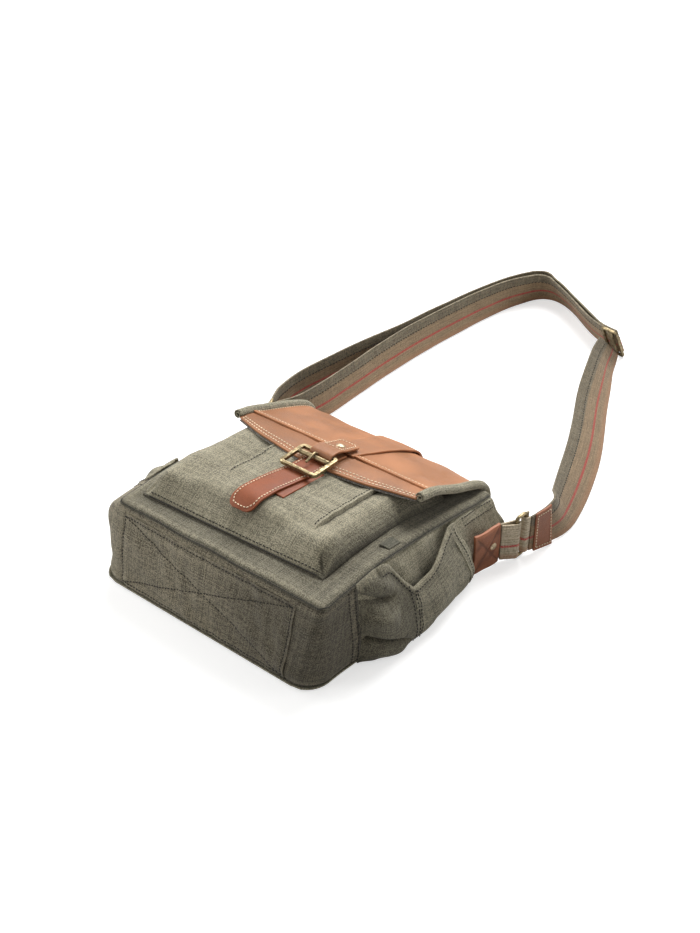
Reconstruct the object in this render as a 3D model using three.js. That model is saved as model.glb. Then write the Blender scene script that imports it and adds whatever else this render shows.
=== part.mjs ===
// A canvas shoulder bag with a leather flap, lying on its back with its shoulder strap laid out behind it.
// Millimetres. X runs across the bag, Y from its base to its top and Z up from the floor.
// While it is worked out, Y is counted from the lower front seam. The finished bag is moved along Y, so that
// the origin is the middle of the back panel's lower face, on the floor.

import * as THREE from 'three';

// Cloth and leather
const CANVAS = 2;
const LEATHER = 2;
const LINING = 1.2;
const WEBBING = 2.4;
const POCKET_CLOTH = 1.6;
const GAP = 0.3;
const CURVED_GAP = 0.5;
const SEAM_GAP = 0.9;

// Body
const BACK = { half: 120, low: -14, high: 245, cornerLow: 24, cornerHigh: 8 };
const REST_MIDDLE_Y = 118;
const FRONT_HALF = 110;
const FRONT_CORNER = 12;
const FRONT_TOP = 232;
const BASE_SEAM_Y = 38;
const BASE_LOW_Y = -10;
const WALL_INSET = 1;
const GUSSET = { seamGap: 1.3, backTop: 243, frontTop: 229.5 };
const BASE_PATCH = { thick: 1.4, from: 2.01, to: 2.91, low: 0.02, high: 0.97 };
const LEAN = 12;
const LEAN_FADE_Y = 110;

// Height of the front panel over the floor, from the base to the top
const FRONT_RISE = [
  { y: -4, z: 82.6 }, { y: 0, z: 83.5 }, { y: 33, z: 84 }, { y: 65, z: 84 }, { y: 99, z: 80 },
  { y: 135, z: 74 }, { y: 163, z: 67 }, { y: 200, z: 59 }, { y: 232, z: 53 }, { y: 250, z: 50 },
];

// How far the side walls swell out. The bias sets the fullest place nearer the floor.
const SWELL_BIAS = 0.7;
const SIDE_SWELL = [
  { y: -20, out: 1.5 }, { y: 15, out: 1.5 }, { y: 38, out: 2 }, { y: 60, out: 4 }, { y: 100, out: 5 },
  { y: 150, out: 6 }, { y: 180, out: 7 }, { y: 250, out: 6 },
];

// How far the left side slouches out near the base, from floor to front seam
const SLOUCH = [
  { t: 0, out: 0 }, { t: 0.3, out: 3 }, { t: 0.55, out: 8 }, { t: 0.75, out: 11.5 }, { t: 0.88, out: 8.5 },
  { t: 0.96, out: 3 }, { t: 1, out: 0 },
];
const SLOUCH_FADE = { from: 45, to: 105 };
const SLOUCH_OVERHANG = 0.03;

// Side pockets: their seams, each given at the floor and at the front seam, how far they puff out along their
// length, and how the puff is shared from floor to front seam
const SIDE_POCKET = {
  low: [39, 39], welt: [86.5, 92], high: [174.4, 159.4], seamGap: 0.7, offset: 2.5, lowZ: 1.4,
};
const SIDE_HEM = { low: [175, 160], high: [183, 168] };
const POCKET_PUFF = [
  { y: 38, out: 0 }, { y: 47, out: 8 }, { y: 60, out: 12 }, { y: 80, out: 13 }, { y: 133, out: 12 },
  { y: 165, out: 8 }, { y: 176, out: 4.5 }, { y: 184, out: 2.5 },
];
const PUFF_SHARE = [
  { at: 0, rise: 0, share: 0.03 }, { at: 0.1, rise: 0.008, share: 0.55 }, { at: 0.2, rise: 0.04, share: 0.86 },
  { at: 0.3, rise: 0.1, share: 1 }, { at: 0.45, rise: 0.25, share: 1 }, { at: 0.6, rise: 0.43, share: 0.8 },
  { at: 0.75, rise: 0.62, share: 0.5 }, { at: 0.88, rise: 0.81, share: 0.2 }, { at: 1, rise: 1, share: 0 },
];
// The notch that leaves the side pocket open: how much of the wall's height each panel covers
const LOWER_PANEL_REACH = [
  { y: 30, reach: 1 }, { y: 70, reach: 1 }, { y: 77, reach: 0.97 }, { y: 82, reach: 0.89 },
  { y: 87, reach: 0.81 }, { y: 92, reach: 0.75 },
];
const UPPER_PANEL_REACH = [
  { y: 86, reach: 0.755 }, { y: 104, reach: 0.76 }, { y: 119, reach: 0.785 }, { y: 135, reach: 0.85 },
  { y: 150, reach: 0.93 }, { y: 160, reach: 0.97 }, { y: 176, reach: 0.98 },
];

// Front pocket
const POCKET = {
  middleX: -5, half: 93, low: 22, high: 190, skew: 0.047, wall: 7, sideSlope: 15, middleSlope: 27,
};
const POCKET_DEEP = [
  { y: 20, deep: 20.5 }, { y: 60, deep: 19.8 }, { y: 100, deep: 18.5 }, { y: 132, deep: 18.9 },
  { y: 145, deep: 19.6 }, { y: 165, deep: 16 }, { y: 190, deep: 10.8 },
];
const TAG = { x: 100, y: 95, wide: 9, tall: 15, thick: 1 };

// Flap: its run in side view from its front edge over the fold to the back panel's top edge
const FLAP = { middleX: -1.5, half: 96, seamY: 155, cornerY: 138, middleY: 121, foldY: 232 };
const FLAP_RUN = [
  { y: 112, z: 100.8 }, { y: 121, z: 100.4 }, { y: 130, z: 99.6 }, { y: 142, z: 97.8 }, { y: 157, z: 93.5 },
  { y: 175, z: 86.6 }, { y: 195, z: 78.5 }, { y: 215, z: 70.2 }, { y: 228, z: 63.5 }, { y: 236, z: 57 },
  { y: 241.5, z: 48 }, { y: 245, z: 36 }, { y: 246.8, z: 22 }, { y: 247.2, z: 8 }, { y: 247.2, z: 1.4 },
];
const FLAP_LINING = { show: 0.8, high: 222, half: 94.5 };
const ROLL = { radius: 4.6, lift: 1, endZ: 40 };

// Flap strap, its buckle and the closure strap
const FLAP_STRAP = { low: 152, endZ: 24, leftLow: -5.6, rightLow: 18, leftFold: -10, rightFold: 29, hump: 5 };
const BUCKLE = {
  middleX: 0.8, middleY: 115.5, wide: 39, tall: 33, bar: 3.2, corner: 5, innerCorner: 2, thick: 3,
  frontZ: 107.4, slope: 0.037,
};
const ROLLER = { y: 122.6, radius: 2.2 };
const PRONG_RADIUS = 1.1;
const PRONG_RUN = [
  { back: 1.6, drop: 0 }, { back: -2, drop: 0 }, { back: -7, drop: 1.2 }, { back: -10, drop: 2.4 },
];
const TAB = {
  middleX: 4, wide: 22.6, thick: 1.8, barRadius: 3.5, overBar: 2.2, underBack: 148, underFront: 138,
};
const TAB_TOP = [{ y: 150, lift: 6.4 }, { y: 166, lift: 5.7 }];
const RIVET_DOME = [
  { out: 0, up: 0 }, { out: 1, up: 0 }, { out: 0.9, up: 0.6 }, { out: 0.5, up: 1 }, { out: 0, up: 1 },
];
const RIVET = { x: 5.4, y: 152.4, radius: 4.4, rise: 2, seatRise: 4 };
const CLOSURE = { wide: 25, thick: 1.8, tipX: -6, tipY: 35, tipBlunt: 3, headX: 2.5, headY: 126 };
const CLOSURE_LIFT = [
  { y: 35, lift: 7.4 }, { y: 45, lift: 5.6 }, { y: 55, lift: 4 }, { y: 64, lift: 4 }, { y: 80, lift: 3.9 },
  { y: 104, lift: 3.9 }, { y: 112, lift: 4.4 }, { y: 119, lift: 5.4 }, { y: 126, lift: 6.2 },
];
const BACKING = { low: 64, high: 116, x: 4, wide: 26, thick: 1.6 };

// Strap hardware
const STRAP_WIDE = 38;
const STRAP_LIFT = 3.9;
const ANCHOR = { low: 183.8, high: 212.5, lowZ: 2.6, highZ: 44, thick: 3, x: 126, spread: 6.4 };
const RING = { lowZ: 1.9, highZ: 46, wire: 1.7, corner: 2.4 };
const LEFT_RING = { near: new THREE.Vector2(-142.5, 227), far: new THREE.Vector2(-149.5, 239) };
const RIGHT_RING = { near: new THREE.Vector2(141.6, 224.8), far: new THREE.Vector2(143.1, 237.1) };
const LOOP_RADIUS = 3.1;
const RING_LOOP = { thick: 1.6, outX: 1.6, outY: 0.5, inX: 1.2, inY: 1.2 };
const END_LOOP = { thick: 1.6, shift: 0.1, seamGap: 0.9, inset: 1.4, back: 8 };
const FOLD = { thick: 1.8, radius: 3.3, shift: 0.3, seamGap: 0.9 };
const ANCHOR_RIVET = { y: 204, z: 24, radius: 3.6, rise: 1.4 };
const SLIDER = {
  x: 45.5, y: 599.5, turn: 168, lean: 29, long: 22, tall: 43, bar: 2.6, thick: 2.8, low: 0.8, corner: 3,
  innerCorner: 1,
};
const STRAP_PATCH = { from: 0.013, to: 0.068, low: -1.5, high: 39.5, thick: 2 };
// How much of the right run's length its upper edge lacks at the slider
const RIGHT_CUT = 0.062;

// The strap's routes on the floor, at its lower edge. Lean is its tilt from upright, to the left of its travel.
const RIGHT_ROUTE = [
  { x: 146.6, y: 239.6, lift: 3.9, lean: 0 },
  { x: 148.4, y: 245, lift: 3.6, lean: 1 },
  { x: 155, y: 264, lift: 2.6, lean: 8 },
  { x: 160, y: 282, lift: 1.8, lean: 22 },
  { x: 159.5, y: 303, lift: 1.5, lean: 40 },
  { x: 146.5, y: 357, lift: 1.4, lean: 58 },
  { x: 126, y: 415, lift: 1.4, lean: 61 },
  { x: 91, y: 492, lift: 1.4, lean: 56 },
  { x: 64.5, y: 553, lift: 1.6, lean: 40 },
  { x: 55.8, y: 577, lift: 1.7, lean: 32 },
  { x: 48.2, y: 595.6, lift: 2.4, lean: 30 },
];
const FAR_ROUTE = [
  { x: 52, y: 603.4, lift: 3.9, lean: 29 },
  { x: 34.8, y: 607.1, lift: 3.9, lean: 29 },
  { x: 21.5, y: 614.4, lift: 2.8, lean: 28 },
  { x: 7, y: 624, lift: 1.6, lean: 27 },
  { x: -15, y: 641, lift: 1.4, lean: 27 },
  { x: -40, y: 659.5, lift: 1.4, lean: 29 },
  { x: -59, y: 670.5, lift: 1.4, lean: 29 },
  { x: -76, y: 675, lift: 1.4, lean: 25 },
  { x: -91, y: 669.5, lift: 1.4, lean: 19 },
  { x: -103, y: 650, lift: 1.4, lean: 10 },
  { x: -116.5, y: 590, lift: 1.4, lean: -4 },
  { x: -129, y: 510, lift: 1.4, lean: -10 },
  { x: -141, y: 442, lift: 1.4, lean: -8 },
  { x: -153, y: 395, lift: 1.4, lean: -4 },
  { x: -165, y: 335, lift: 1.4, lean: 0 },
  { x: -168, y: 295, lift: 1.6, lean: 0 },
  { x: -164, y: 266, lift: 2.6, lean: 0 },
  { x: -157, y: 250, lift: 3.9, lean: 0 },
  { x: -153.4, y: 243.4, lift: 3.9, lean: 0 },
];
const NEAR_ROUTE = [
  { x: -146.4, y: 243.4, lift: 3.9, lean: 0 },
  { x: -143, y: 250, lift: 3.9, lean: 0 },
  { x: -136, y: 267, lift: 2.6, lean: 4 },
  { x: -131, y: 300, lift: 1.5, lean: 10 },
  { x: -130, y: 361, lift: 1.4, lean: 12 },
  { x: -129, y: 430, lift: 1.4, lean: 14 },
  { x: -122, y: 510, lift: 1.4, lean: 10 },
  { x: -111, y: 590, lift: 1.4, lean: 3 },
  { x: -96.5, y: 644, lift: 1.4, lean: -10 },
  { x: -87, y: 659, lift: 1.4, lean: -18 },
  { x: -74, y: 664.5, lift: 1.4, lean: -23 },
  { x: -58.5, y: 662, lift: 1.4, lean: -27 },
  { x: -40.5, y: 652.5, lift: 1.4, lean: -28 },
  { x: -16, y: 635, lift: 1.4, lean: -27 },
  { x: 6, y: 619.2, lift: 1.6, lean: -27 },
  { x: 19, y: 610.8, lift: 2.8, lean: -28 },
  { x: 34.2, y: 603.9, lift: 3.9, lean: -29 },
  { x: 51.3, y: 600.2, lift: 3.9, lean: -29 },
];

const FINISHES = {
  canvas: { color: 0x6b6a58, roughness: 0.95, metalness: 0 },
  baseCanvas: { color: 0x544c40, roughness: 0.95, metalness: 0 },
  lining: { color: 0x77746c, roughness: 0.95, metalness: 0 },
  leather: { color: 0xb06a3f, roughness: 0.6, metalness: 0 },
  strapLeather: { color: 0x9a4a2a, roughness: 0.6, metalness: 0 },
  webbing: { color: 0x857c68, roughness: 0.95, metalness: 0 },
  brass: { color: 0x8d7a55, roughness: 0.4, metalness: 1 },
};

const bag = new THREE.Group();

// Adds one piece of the bag.
function piece(name, geometry, finish) {
  geometry.translate(0, -REST_MIDDLE_Y, 0);
  const mesh = new THREE.Mesh(geometry, new THREE.MeshStandardMaterial(FINISHES[finish]));
  mesh.name = name;
  bag.add(mesh);
}

function mix(a, b, share) {
  return a + (b - a) * share;
}

// Evenly spread stops from one value to another, both ends included.
function stops(from, to, count) {
  return Array.from({ length: count + 1 }, (_, i) => mix(from, to, i / count));
}

// Smooth value of one column of a table at a place along its key column.
function along(table, key, column, at) {
  const last = table.length - 2;
  let i = 0;
  while (i < last && at > table[i + 1][key]) i += 1;
  const row = (number) => table[Math.min(Math.max(number, 0), last + 1)];
  const [before, from, to, after] = [row(i - 1), row(i), row(i + 1), row(i + 2)];
  const span = to[key] - from[key];
  const share = Math.min(Math.max((at - from[key]) / span, 0), 1);
  const slopeFrom = (to[column] - before[column]) / (to[key] - before[key]);
  const slopeTo = (after[column] - from[column]) / (after[key] - from[key]);
  const square = share * share;
  const cube = square * share;
  return (2 * cube - 3 * square + 1) * from[column] + (cube - 2 * square + share) * span * slopeFrom
    + (3 * square - 2 * cube) * to[column] + (cube - square) * span * slopeTo;
}

// A closed wall of even thickness along a curved surface. place(a, b) is a point of the wall's middle surface.
function sheet(place, acrossStops, alongStops, thickness) {
  const columns = acrossStops.length;
  const rows = alongStops.length;
  const nudge = 1e-3;
  const positions = [];
  for (const side of [0.5, -0.5]) {
    for (const b of alongStops) {
      for (const a of acrossStops) {
        const down = place(a + nudge, b).sub(place(a - nudge, b));
        const right = place(a, b + nudge).sub(place(a, b - nudge));
        const normal = down.cross(right).normalize();
        positions.push(...place(a, b).addScaledVector(normal, side * thickness));
      }
    }
  }
  const outer = (i, j) => j * columns + i;
  const inner = (i, j) => columns * rows + j * columns + i;
  const index = [];
  const quad = (p, q, r, s) => index.push(p, q, r, p, r, s);
  for (let j = 0; j < rows - 1; j += 1) {
    for (let i = 0; i < columns - 1; i += 1) {
      quad(outer(i, j), outer(i + 1, j), outer(i + 1, j + 1), outer(i, j + 1));
      quad(inner(i, j), inner(i, j + 1), inner(i + 1, j + 1), inner(i + 1, j));
    }
  }
  for (let i = 0; i < columns - 1; i += 1) {
    quad(outer(i, 0), inner(i, 0), inner(i + 1, 0), outer(i + 1, 0));
    quad(outer(i, rows - 1), outer(i + 1, rows - 1), inner(i + 1, rows - 1), inner(i, rows - 1));
  }
  for (let j = 0; j < rows - 1; j += 1) {
    quad(outer(0, j), outer(0, j + 1), inner(0, j + 1), inner(0, j));
    quad(outer(columns - 1, j), inner(columns - 1, j), inner(columns - 1, j + 1), outer(columns - 1, j + 1));
  }
  const geometry = new THREE.BufferGeometry();
  geometry.setAttribute('position', new THREE.Float32BufferAttribute(positions, 3));
  geometry.setIndex(index);
  return geometry;
}

function roundedBox(wide, tall, corner) {
  const shape = new THREE.Shape();
  shape.moveTo(-wide / 2 + corner, -tall / 2);
  shape.lineTo(wide / 2 - corner, -tall / 2);
  shape.absarc(wide / 2 - corner, -tall / 2 + corner, corner, -Math.PI / 2, 0);
  shape.absarc(wide / 2 - corner, tall / 2 - corner, corner, 0, Math.PI / 2);
  shape.absarc(-wide / 2 + corner, tall / 2 - corner, corner, Math.PI / 2, Math.PI);
  shape.absarc(-wide / 2 + corner, -tall / 2 + corner, corner, Math.PI, Math.PI * 1.5);
  return shape;
}

// A closed ring of round wire along a flat closed route. normal is square to the route's plane.
function wireRing(route, normal, radius, sides) {
  const positions = [];
  const index = [];
  const count = route.length;
  route.forEach((point, i) => {
    const ahead = route[(i + 1) % count].clone().sub(route[(i + count - 1) % count]).normalize();
    const outward = ahead.clone().cross(normal);
    for (let k = 0; k < sides; k += 1) {
      const angle = (k / sides) * Math.PI * 2;
      const spoke = outward.clone().multiplyScalar(Math.cos(angle)).addScaledVector(normal, Math.sin(angle));
      positions.push(...point.clone().addScaledVector(spoke, radius));
      const next = ((i + 1) % count) * sides;
      const turn = (k + 1) % sides;
      index.push(i * sides + k, next + k, next + turn, i * sides + k, next + turn, i * sides + turn);
    }
  });
  const geometry = new THREE.BufferGeometry();
  geometry.setAttribute('position', new THREE.Float32BufferAttribute(positions, 3));
  geometry.setIndex(index);
  return geometry;
}

// Body

function frontZ(y) {
  return along(FRONT_RISE, 'y', 'z', y);
}

// The soft bag leans to the left near its base, most at the floor.
function leaned(point) {
  const fade = 1 - THREE.MathUtils.smoothstep(point.y, 0, LEAN_FADE_Y);
  point.x -= LEAN * (1 - point.z / frontZ(point.y)) * fade;
  return point;
}

function backPanel() {
  const tall = BACK.high - BACK.low;
  const shape = new THREE.Shape();
  shape.moveTo(-BACK.half + BACK.cornerLow, 0);
  shape.lineTo(BACK.half - BACK.cornerLow, 0);
  shape.absarc(BACK.half - BACK.cornerLow, BACK.cornerLow, BACK.cornerLow, -Math.PI / 2, 0);
  for (const y of stops(60, 120, 3)) shape.lineTo(BACK.half, y);
  shape.absarc(BACK.half - BACK.cornerHigh, tall - BACK.cornerHigh, BACK.cornerHigh, 0, Math.PI / 2);
  shape.absarc(-BACK.half + BACK.cornerHigh, tall - BACK.cornerHigh, BACK.cornerHigh, Math.PI / 2, Math.PI);
  for (const y of stops(120, 60, 3)) shape.lineTo(-BACK.half, y);
  shape.absarc(-BACK.half + BACK.cornerLow, BACK.cornerLow, BACK.cornerLow, Math.PI, Math.PI * 1.5);
  const geometry = new THREE.ExtrudeGeometry(shape, { depth: CANVAS, bevelEnabled: false, curveSegments: 6 });
  geometry.translate(0, BACK.low, 0);
  const position = geometry.attributes.position;
  const point = new THREE.Vector3();
  for (let i = 0; i < position.count; i += 1) {
    point.fromBufferAttribute(position, i);
    const floor = point.clone().setZ(0);
    position.setX(i, leaned(floor).x);
  }
  return geometry;
}

function frontPanel() {
  const place = (a, b) => {
    const y = b * FRONT_TOP;
    const short = Math.max(FRONT_CORNER - y, 0);
    const cornerHalf = Math.sqrt(FRONT_CORNER ** 2 - Math.min(short, FRONT_CORNER) ** 2);
    const half = FRONT_HALF - FRONT_CORNER + cornerHalf;
    return new THREE.Vector3(a * half, y, frontZ(y) - CANVAS / 2);
  };
  const rows = [0.0005, 0.006, 0.02, 0.05, ...stops(0.12, 1, 11)];
  return sheet(place, stops(-1, 1, 2), rows, CANVAS);
}

// The wall between back and front, at share t of the way up and at a place on the base, a corner or a side.
function wallSizes(t) {
  return {
    half: mix(BACK.half, FRONT_HALF, t) - WALL_INSET,
    low: mix(BASE_LOW_Y, 0, t) + WALL_INSET,
    corner: mix(BACK.cornerLow, FRONT_CORNER, t),
  };
}

function wallZ(y, t) {
  return mix(CANVAS + SEAM_GAP, frontZ(Math.max(y, 0)) - CANVAS - SEAM_GAP, t);
}

function swollen(y, t) {
  return along(SIDE_SWELL, 'y', 'out', y) * Math.sin(Math.PI * Math.min(Math.max(t, 0), 1) ** SWELL_BIAS);
}

function slouched(side, y, t) {
  const fade = 1 - THREE.MathUtils.smoothstep(y, SLOUCH_FADE.from, SLOUCH_FADE.to);
  return side < 0 ? along(SLOUCH, 't', 'out', t) * fade : 0;
}

function sideWall(side, y, t) {
  const { half } = wallSizes(t);
  return leaned(new THREE.Vector3(side * (half + swollen(y, t) + slouched(side, y, t)), y, wallZ(y, t)));
}

// The base strip in five stretches: left side, left corner, base, right corner and right side.
function baseWall(stretch, t, offset) {
  const { half, low, corner } = wallSizes(t);
  const part = Math.min(Math.floor(stretch), 4);
  const share = stretch - part;
  if (part === 0) return sideWall(-1, mix(BASE_SEAM_Y, low + corner, share), t);
  if (part === 4) return sideWall(1, mix(low + corner, BASE_SEAM_Y, share), t);
  const side = part === 1 ? -1 : 1;
  const turn = (part === 1 ? 1 - share : share) * (Math.PI / 2);
  const swell = swollen(low, t) + offset;
  const point = part === 2
    ? new THREE.Vector3(mix(-(half - corner), half - corner, share), low - swell, 0)
    : new THREE.Vector3(
      side * (half - corner + (corner + swell + slouched(side, low, t) * Math.sin(turn)) * Math.sin(turn)),
      low + corner - (corner + swell) * Math.cos(turn), 0);
  point.z = wallZ(point.y, t);
  return leaned(point);
}

function baseGusset() {
  const leftStretches = [...stops(0, 1, 2), ...stops(1.2, 1.8, 3)];
  const rightStretches = [...stops(3.2, 3.8, 3), ...stops(4, 5, 2)];
  const stretches = [...leftStretches, ...stops(2, 3, 8), ...rightStretches];
  return sheet((a, b) => baseWall(a, b, 0), stretches, stops(0, 1, 10), CANVAS);
}

function basePatch() {
  const { thick, from, to, low, high } = BASE_PATCH;
  const offset = CANVAS / 2 + CURVED_GAP + thick / 2;
  return sheet((a, b) => baseWall(a, b, offset), stops(from, to, 8), stops(low, high, 6), thick);
}

function sideGusset(side) {
  const top = (b) => mix(GUSSET.backTop, GUSSET.frontTop, b);
  const place = (a, b) => sideWall(side, mix(BASE_SEAM_Y + GUSSET.seamGap, top(b), a), b);
  return sheet(place, stops(0, 1, 12), stops(0, 1, 10), CANVAS);
}

// The side pocket stands off the side wall. at runs from the floor edge to the front seam.
function sidePocketPoint(side, y, at) {
  const rise = along(PUFF_SHARE, 'at', 'rise', at);
  const share = along(PUFF_SHARE, 'at', 'share', at);
  const topZ = frontZ(y) - CANVAS - SEAM_GAP;
  const z = mix(SIDE_POCKET.lowZ, topZ, rise);
  const t = Math.max((z - CANVAS - SEAM_GAP) / (topZ - CANVAS - SEAM_GAP), 0);
  const { half } = wallSizes(t);
  const out = SIDE_POCKET.offset + along(POCKET_PUFF, 'y', 'out', y) * share;
  const slouch = Math.max(slouched(side, y, t), slouched(side, y, t - SLOUCH_OVERHANG));
  const point = new THREE.Vector3(side * (half + swollen(y, t) + slouch + out), y, z);
  const lean = leaned(point.clone().setZ(Math.max(z, CANVAS + SEAM_GAP)));
  return point.setX(lean.x);
}

// A panel between two seams, each given by its place at the floor and at the front seam.
function sidePocketPanel(side, low, high, reach) {
  const place = (a, b) => {
    const y = mix(mix(...low, b), mix(...high, b), a);
    return sidePocketPoint(side, y, b * along(reach, 'y', 'reach', y));
  };
  return sheet(place, stops(0, 1, 7), stops(0, 1, 13), POCKET_CLOTH);
}

// Front pocket: a soft box of cloth with its edge sewn to the front panel, open at the top under the flap. Its
// low side is a slope, longer in the middle, that rounds off into the pocket's face.

const SLOPE_ROUND = 0.25;

function slope(share) {
  const held = Math.min(share, 1 + SLOPE_ROUND);
  const past = Math.max(held - (1 - SLOPE_ROUND), 0);
  return held - past ** 2 / (4 * SLOPE_ROUND);
}

function pocketPoint(a, b) {
  const rounding = (share) => Math.sin(Math.min(share, 1) * (Math.PI / 2)) ** 0.5;
  const x = POCKET.middleX + a * POCKET.half;
  const y = mix(POCKET.low + POCKET.skew * (x - POCKET.middleX), POCKET.high, b);
  const fromSide = (1 - Math.min(Math.abs(a), 1)) * POCKET.half;
  const fromLow = Math.max(b, 0) * (POCKET.high - POCKET.low);
  const slopeRun = mix(POCKET.sideSlope, POCKET.middleSlope, Math.cos(a * (Math.PI / 2)) ** 2);
  const shape = rounding(fromSide / POCKET.wall) * slope(fromLow / slopeRun);
  const deep = along(POCKET_DEEP, 'y', 'deep', y) * shape;
  return new THREE.Vector3(x, y, frontZ(y) + GAP + CANVAS / 2 + deep);
}

function frontPocket() {
  const edge = [0, 0.006, 0.02, 0.045, 0.075, 0.12];
  const acrossStops = [...edge.map((e) => e - 1), ...stops(-0.7, 0.7, 6), ...edge.map((e) => 1 - e).reverse()];
  const alongStops = [0, 0.05, ...stops(0.09, 0.21, 5), ...stops(0.28, 1, 8)];
  return sheet(pocketPoint, acrossStops, alongStops, POCKET_CLOTH);
}

// Flap

const flapCurve = new THREE.SplineCurve(FLAP_RUN.map((row) => new THREE.Vector2(row.y, row.z)));
const FLAP_STEPS = 400;
const flapTrail = flapCurve.getPoints(FLAP_STEPS);

// Share of the flap's run at which it passes a given Y on its upper side, or a given Z behind the fold.
function flapShareAtY(y) {
  return flapTrail.findIndex((point) => point.x >= y) / FLAP_STEPS;
}

function flapShareAtZ(z) {
  return flapTrail.findIndex((point) => point.x > FLAP.foldY && point.y <= z) / FLAP_STEPS;
}

// A point above (or, with a negative lift, below) the middle of the flap's leather.
function flapPoint(x, share, lift) {
  const held = Math.min(Math.max(share, 0), 1);
  const point = flapCurve.getPoint(held);
  const heading = flapCurve.getTangent(held);
  return new THREE.Vector3(x, point.x - heading.y * lift, point.y + heading.x * lift);
}

function flapFrontY(x) {
  const share = Math.min(Math.abs(x - FLAP.middleX) / FLAP.half, 1);
  return mix(FLAP.middleY, FLAP.cornerY, share ** 2);
}

function flapX(a) {
  return FLAP.middleX + a * FLAP.half;
}

function flapLeather() {
  const from = flapShareAtY(FLAP.seamY);
  return sheet((a, b) => flapPoint(flapX(a), b, 0), stops(-1, 1, 4), stops(from, 1, 26), LEATHER);
}

function flapFrontBand() {
  const back = FLAP.seamY - 2 * GAP;
  const place = (a, b) => {
    const y = mix(flapFrontY(flapX(a)), back, b);
    return new THREE.Vector3(flapX(a), y, along(FLAP_RUN, 'y', 'z', y));
  };
  return sheet(place, stops(-1, 1, 10), stops(0, 1, 4), LEATHER);
}

function flapLining() {
  const drop = LEATHER / 2 + GAP + LINING / 2;
  const place = (a, b) => {
    const x = FLAP.middleX + a * FLAP_LINING.half;
    const y = mix(flapFrontY(x) - FLAP_LINING.show, FLAP_LINING.high, b);
    return new THREE.Vector3(x, y, along(FLAP_RUN, 'y', 'z', y) - drop);
  };
  return sheet(place, stops(-1, 1, 8), stops(0, 1, 10), LINING);
}

function flapRoll(side) {
  const from = flapShareAtY(FLAP.cornerY + 1);
  const to = flapShareAtZ(ROLL.endZ);
  const x = FLAP.middleX + side * (FLAP.half + CURVED_GAP + ROLL.radius);
  const spine = new THREE.CatmullRomCurve3(stops(from, to, 14).map((share) => flapPoint(x, share, ROLL.lift)));
  const section = new THREE.Shape();
  section.absarc(0, 0, ROLL.radius, 0, Math.PI * 2);
  return new THREE.ExtrudeGeometry(section, { steps: 18, curveSegments: 5, extrudePath: spine });
}

// Flap strap and buckle

function flapStrap() {
  const from = flapShareAtY(FLAP_STRAP.low);
  const fold = flapShareAtY(FLAP.foldY);
  const to = flapShareAtZ(FLAP_STRAP.endZ);
  const place = (a, b) => {
    const way = Math.min(Math.max((b - from) / (fold - from), 0), 1);
    const left = mix(FLAP_STRAP.leftLow, FLAP_STRAP.leftFold, way);
    const right = mix(FLAP_STRAP.rightLow, FLAP_STRAP.rightFold, way);
    const hump = FLAP_STRAP.hump * Math.sin(Math.PI * way) ** 2;
    return flapPoint(mix(left, right, a), b, LEATHER + CURVED_GAP + hump);
  };
  return sheet(place, stops(0, 1, 2), stops(from, to, 18), LEATHER);
}

function buckleZ(y) {
  return BUCKLE.frontZ - BUCKLE.slope * (y - (BUCKLE.middleY - BUCKLE.tall / 2));
}

const BAR_Y = BUCKLE.middleY + BUCKLE.tall / 2 - BUCKLE.bar / 2;

function buckleFrame() {
  const shape = roundedBox(BUCKLE.wide, BUCKLE.tall, BUCKLE.corner);
  const windowWide = BUCKLE.wide - 2 * BUCKLE.bar;
  const windowTall = BUCKLE.tall - 2 * BUCKLE.bar;
  shape.holes.push(roundedBox(windowWide, windowTall, BUCKLE.innerCorner));
  const depth = BUCKLE.thick;
  const geometry = new THREE.ExtrudeGeometry(shape, { depth, bevelEnabled: false, curveSegments: 4 });
  geometry.translate(0, 0, -BUCKLE.thick / 2);
  geometry.rotateX(-Math.atan(BUCKLE.slope));
  geometry.translate(BUCKLE.middleX, BUCKLE.middleY, buckleZ(BUCKLE.middleY));
  return geometry;
}

function buckleRoller() {
  const long = BUCKLE.wide - 2 * BUCKLE.bar - 2 * GAP;
  const geometry = new THREE.CylinderGeometry(ROLLER.radius, ROLLER.radius, long, 12);
  geometry.rotateZ(Math.PI / 2);
  geometry.translate(BUCKLE.middleX, ROLLER.y, buckleZ(ROLLER.y));
  return geometry;
}

function buckleProng() {
  const over = buckleZ(ROLLER.y) + ROLLER.radius + GAP + PRONG_RADIUS;
  const spine = new THREE.CatmullRomCurve3(PRONG_RUN.map(
    (row) => new THREE.Vector3(BUCKLE.middleX, ROLLER.y + row.back, over - row.drop)));
  const section = new THREE.Shape();
  section.absarc(0, 0, PRONG_RADIUS, 0, Math.PI * 2);
  return new THREE.ExtrudeGeometry(section, { steps: 6, curveSegments: 4, extrudePath: spine });
}

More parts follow.
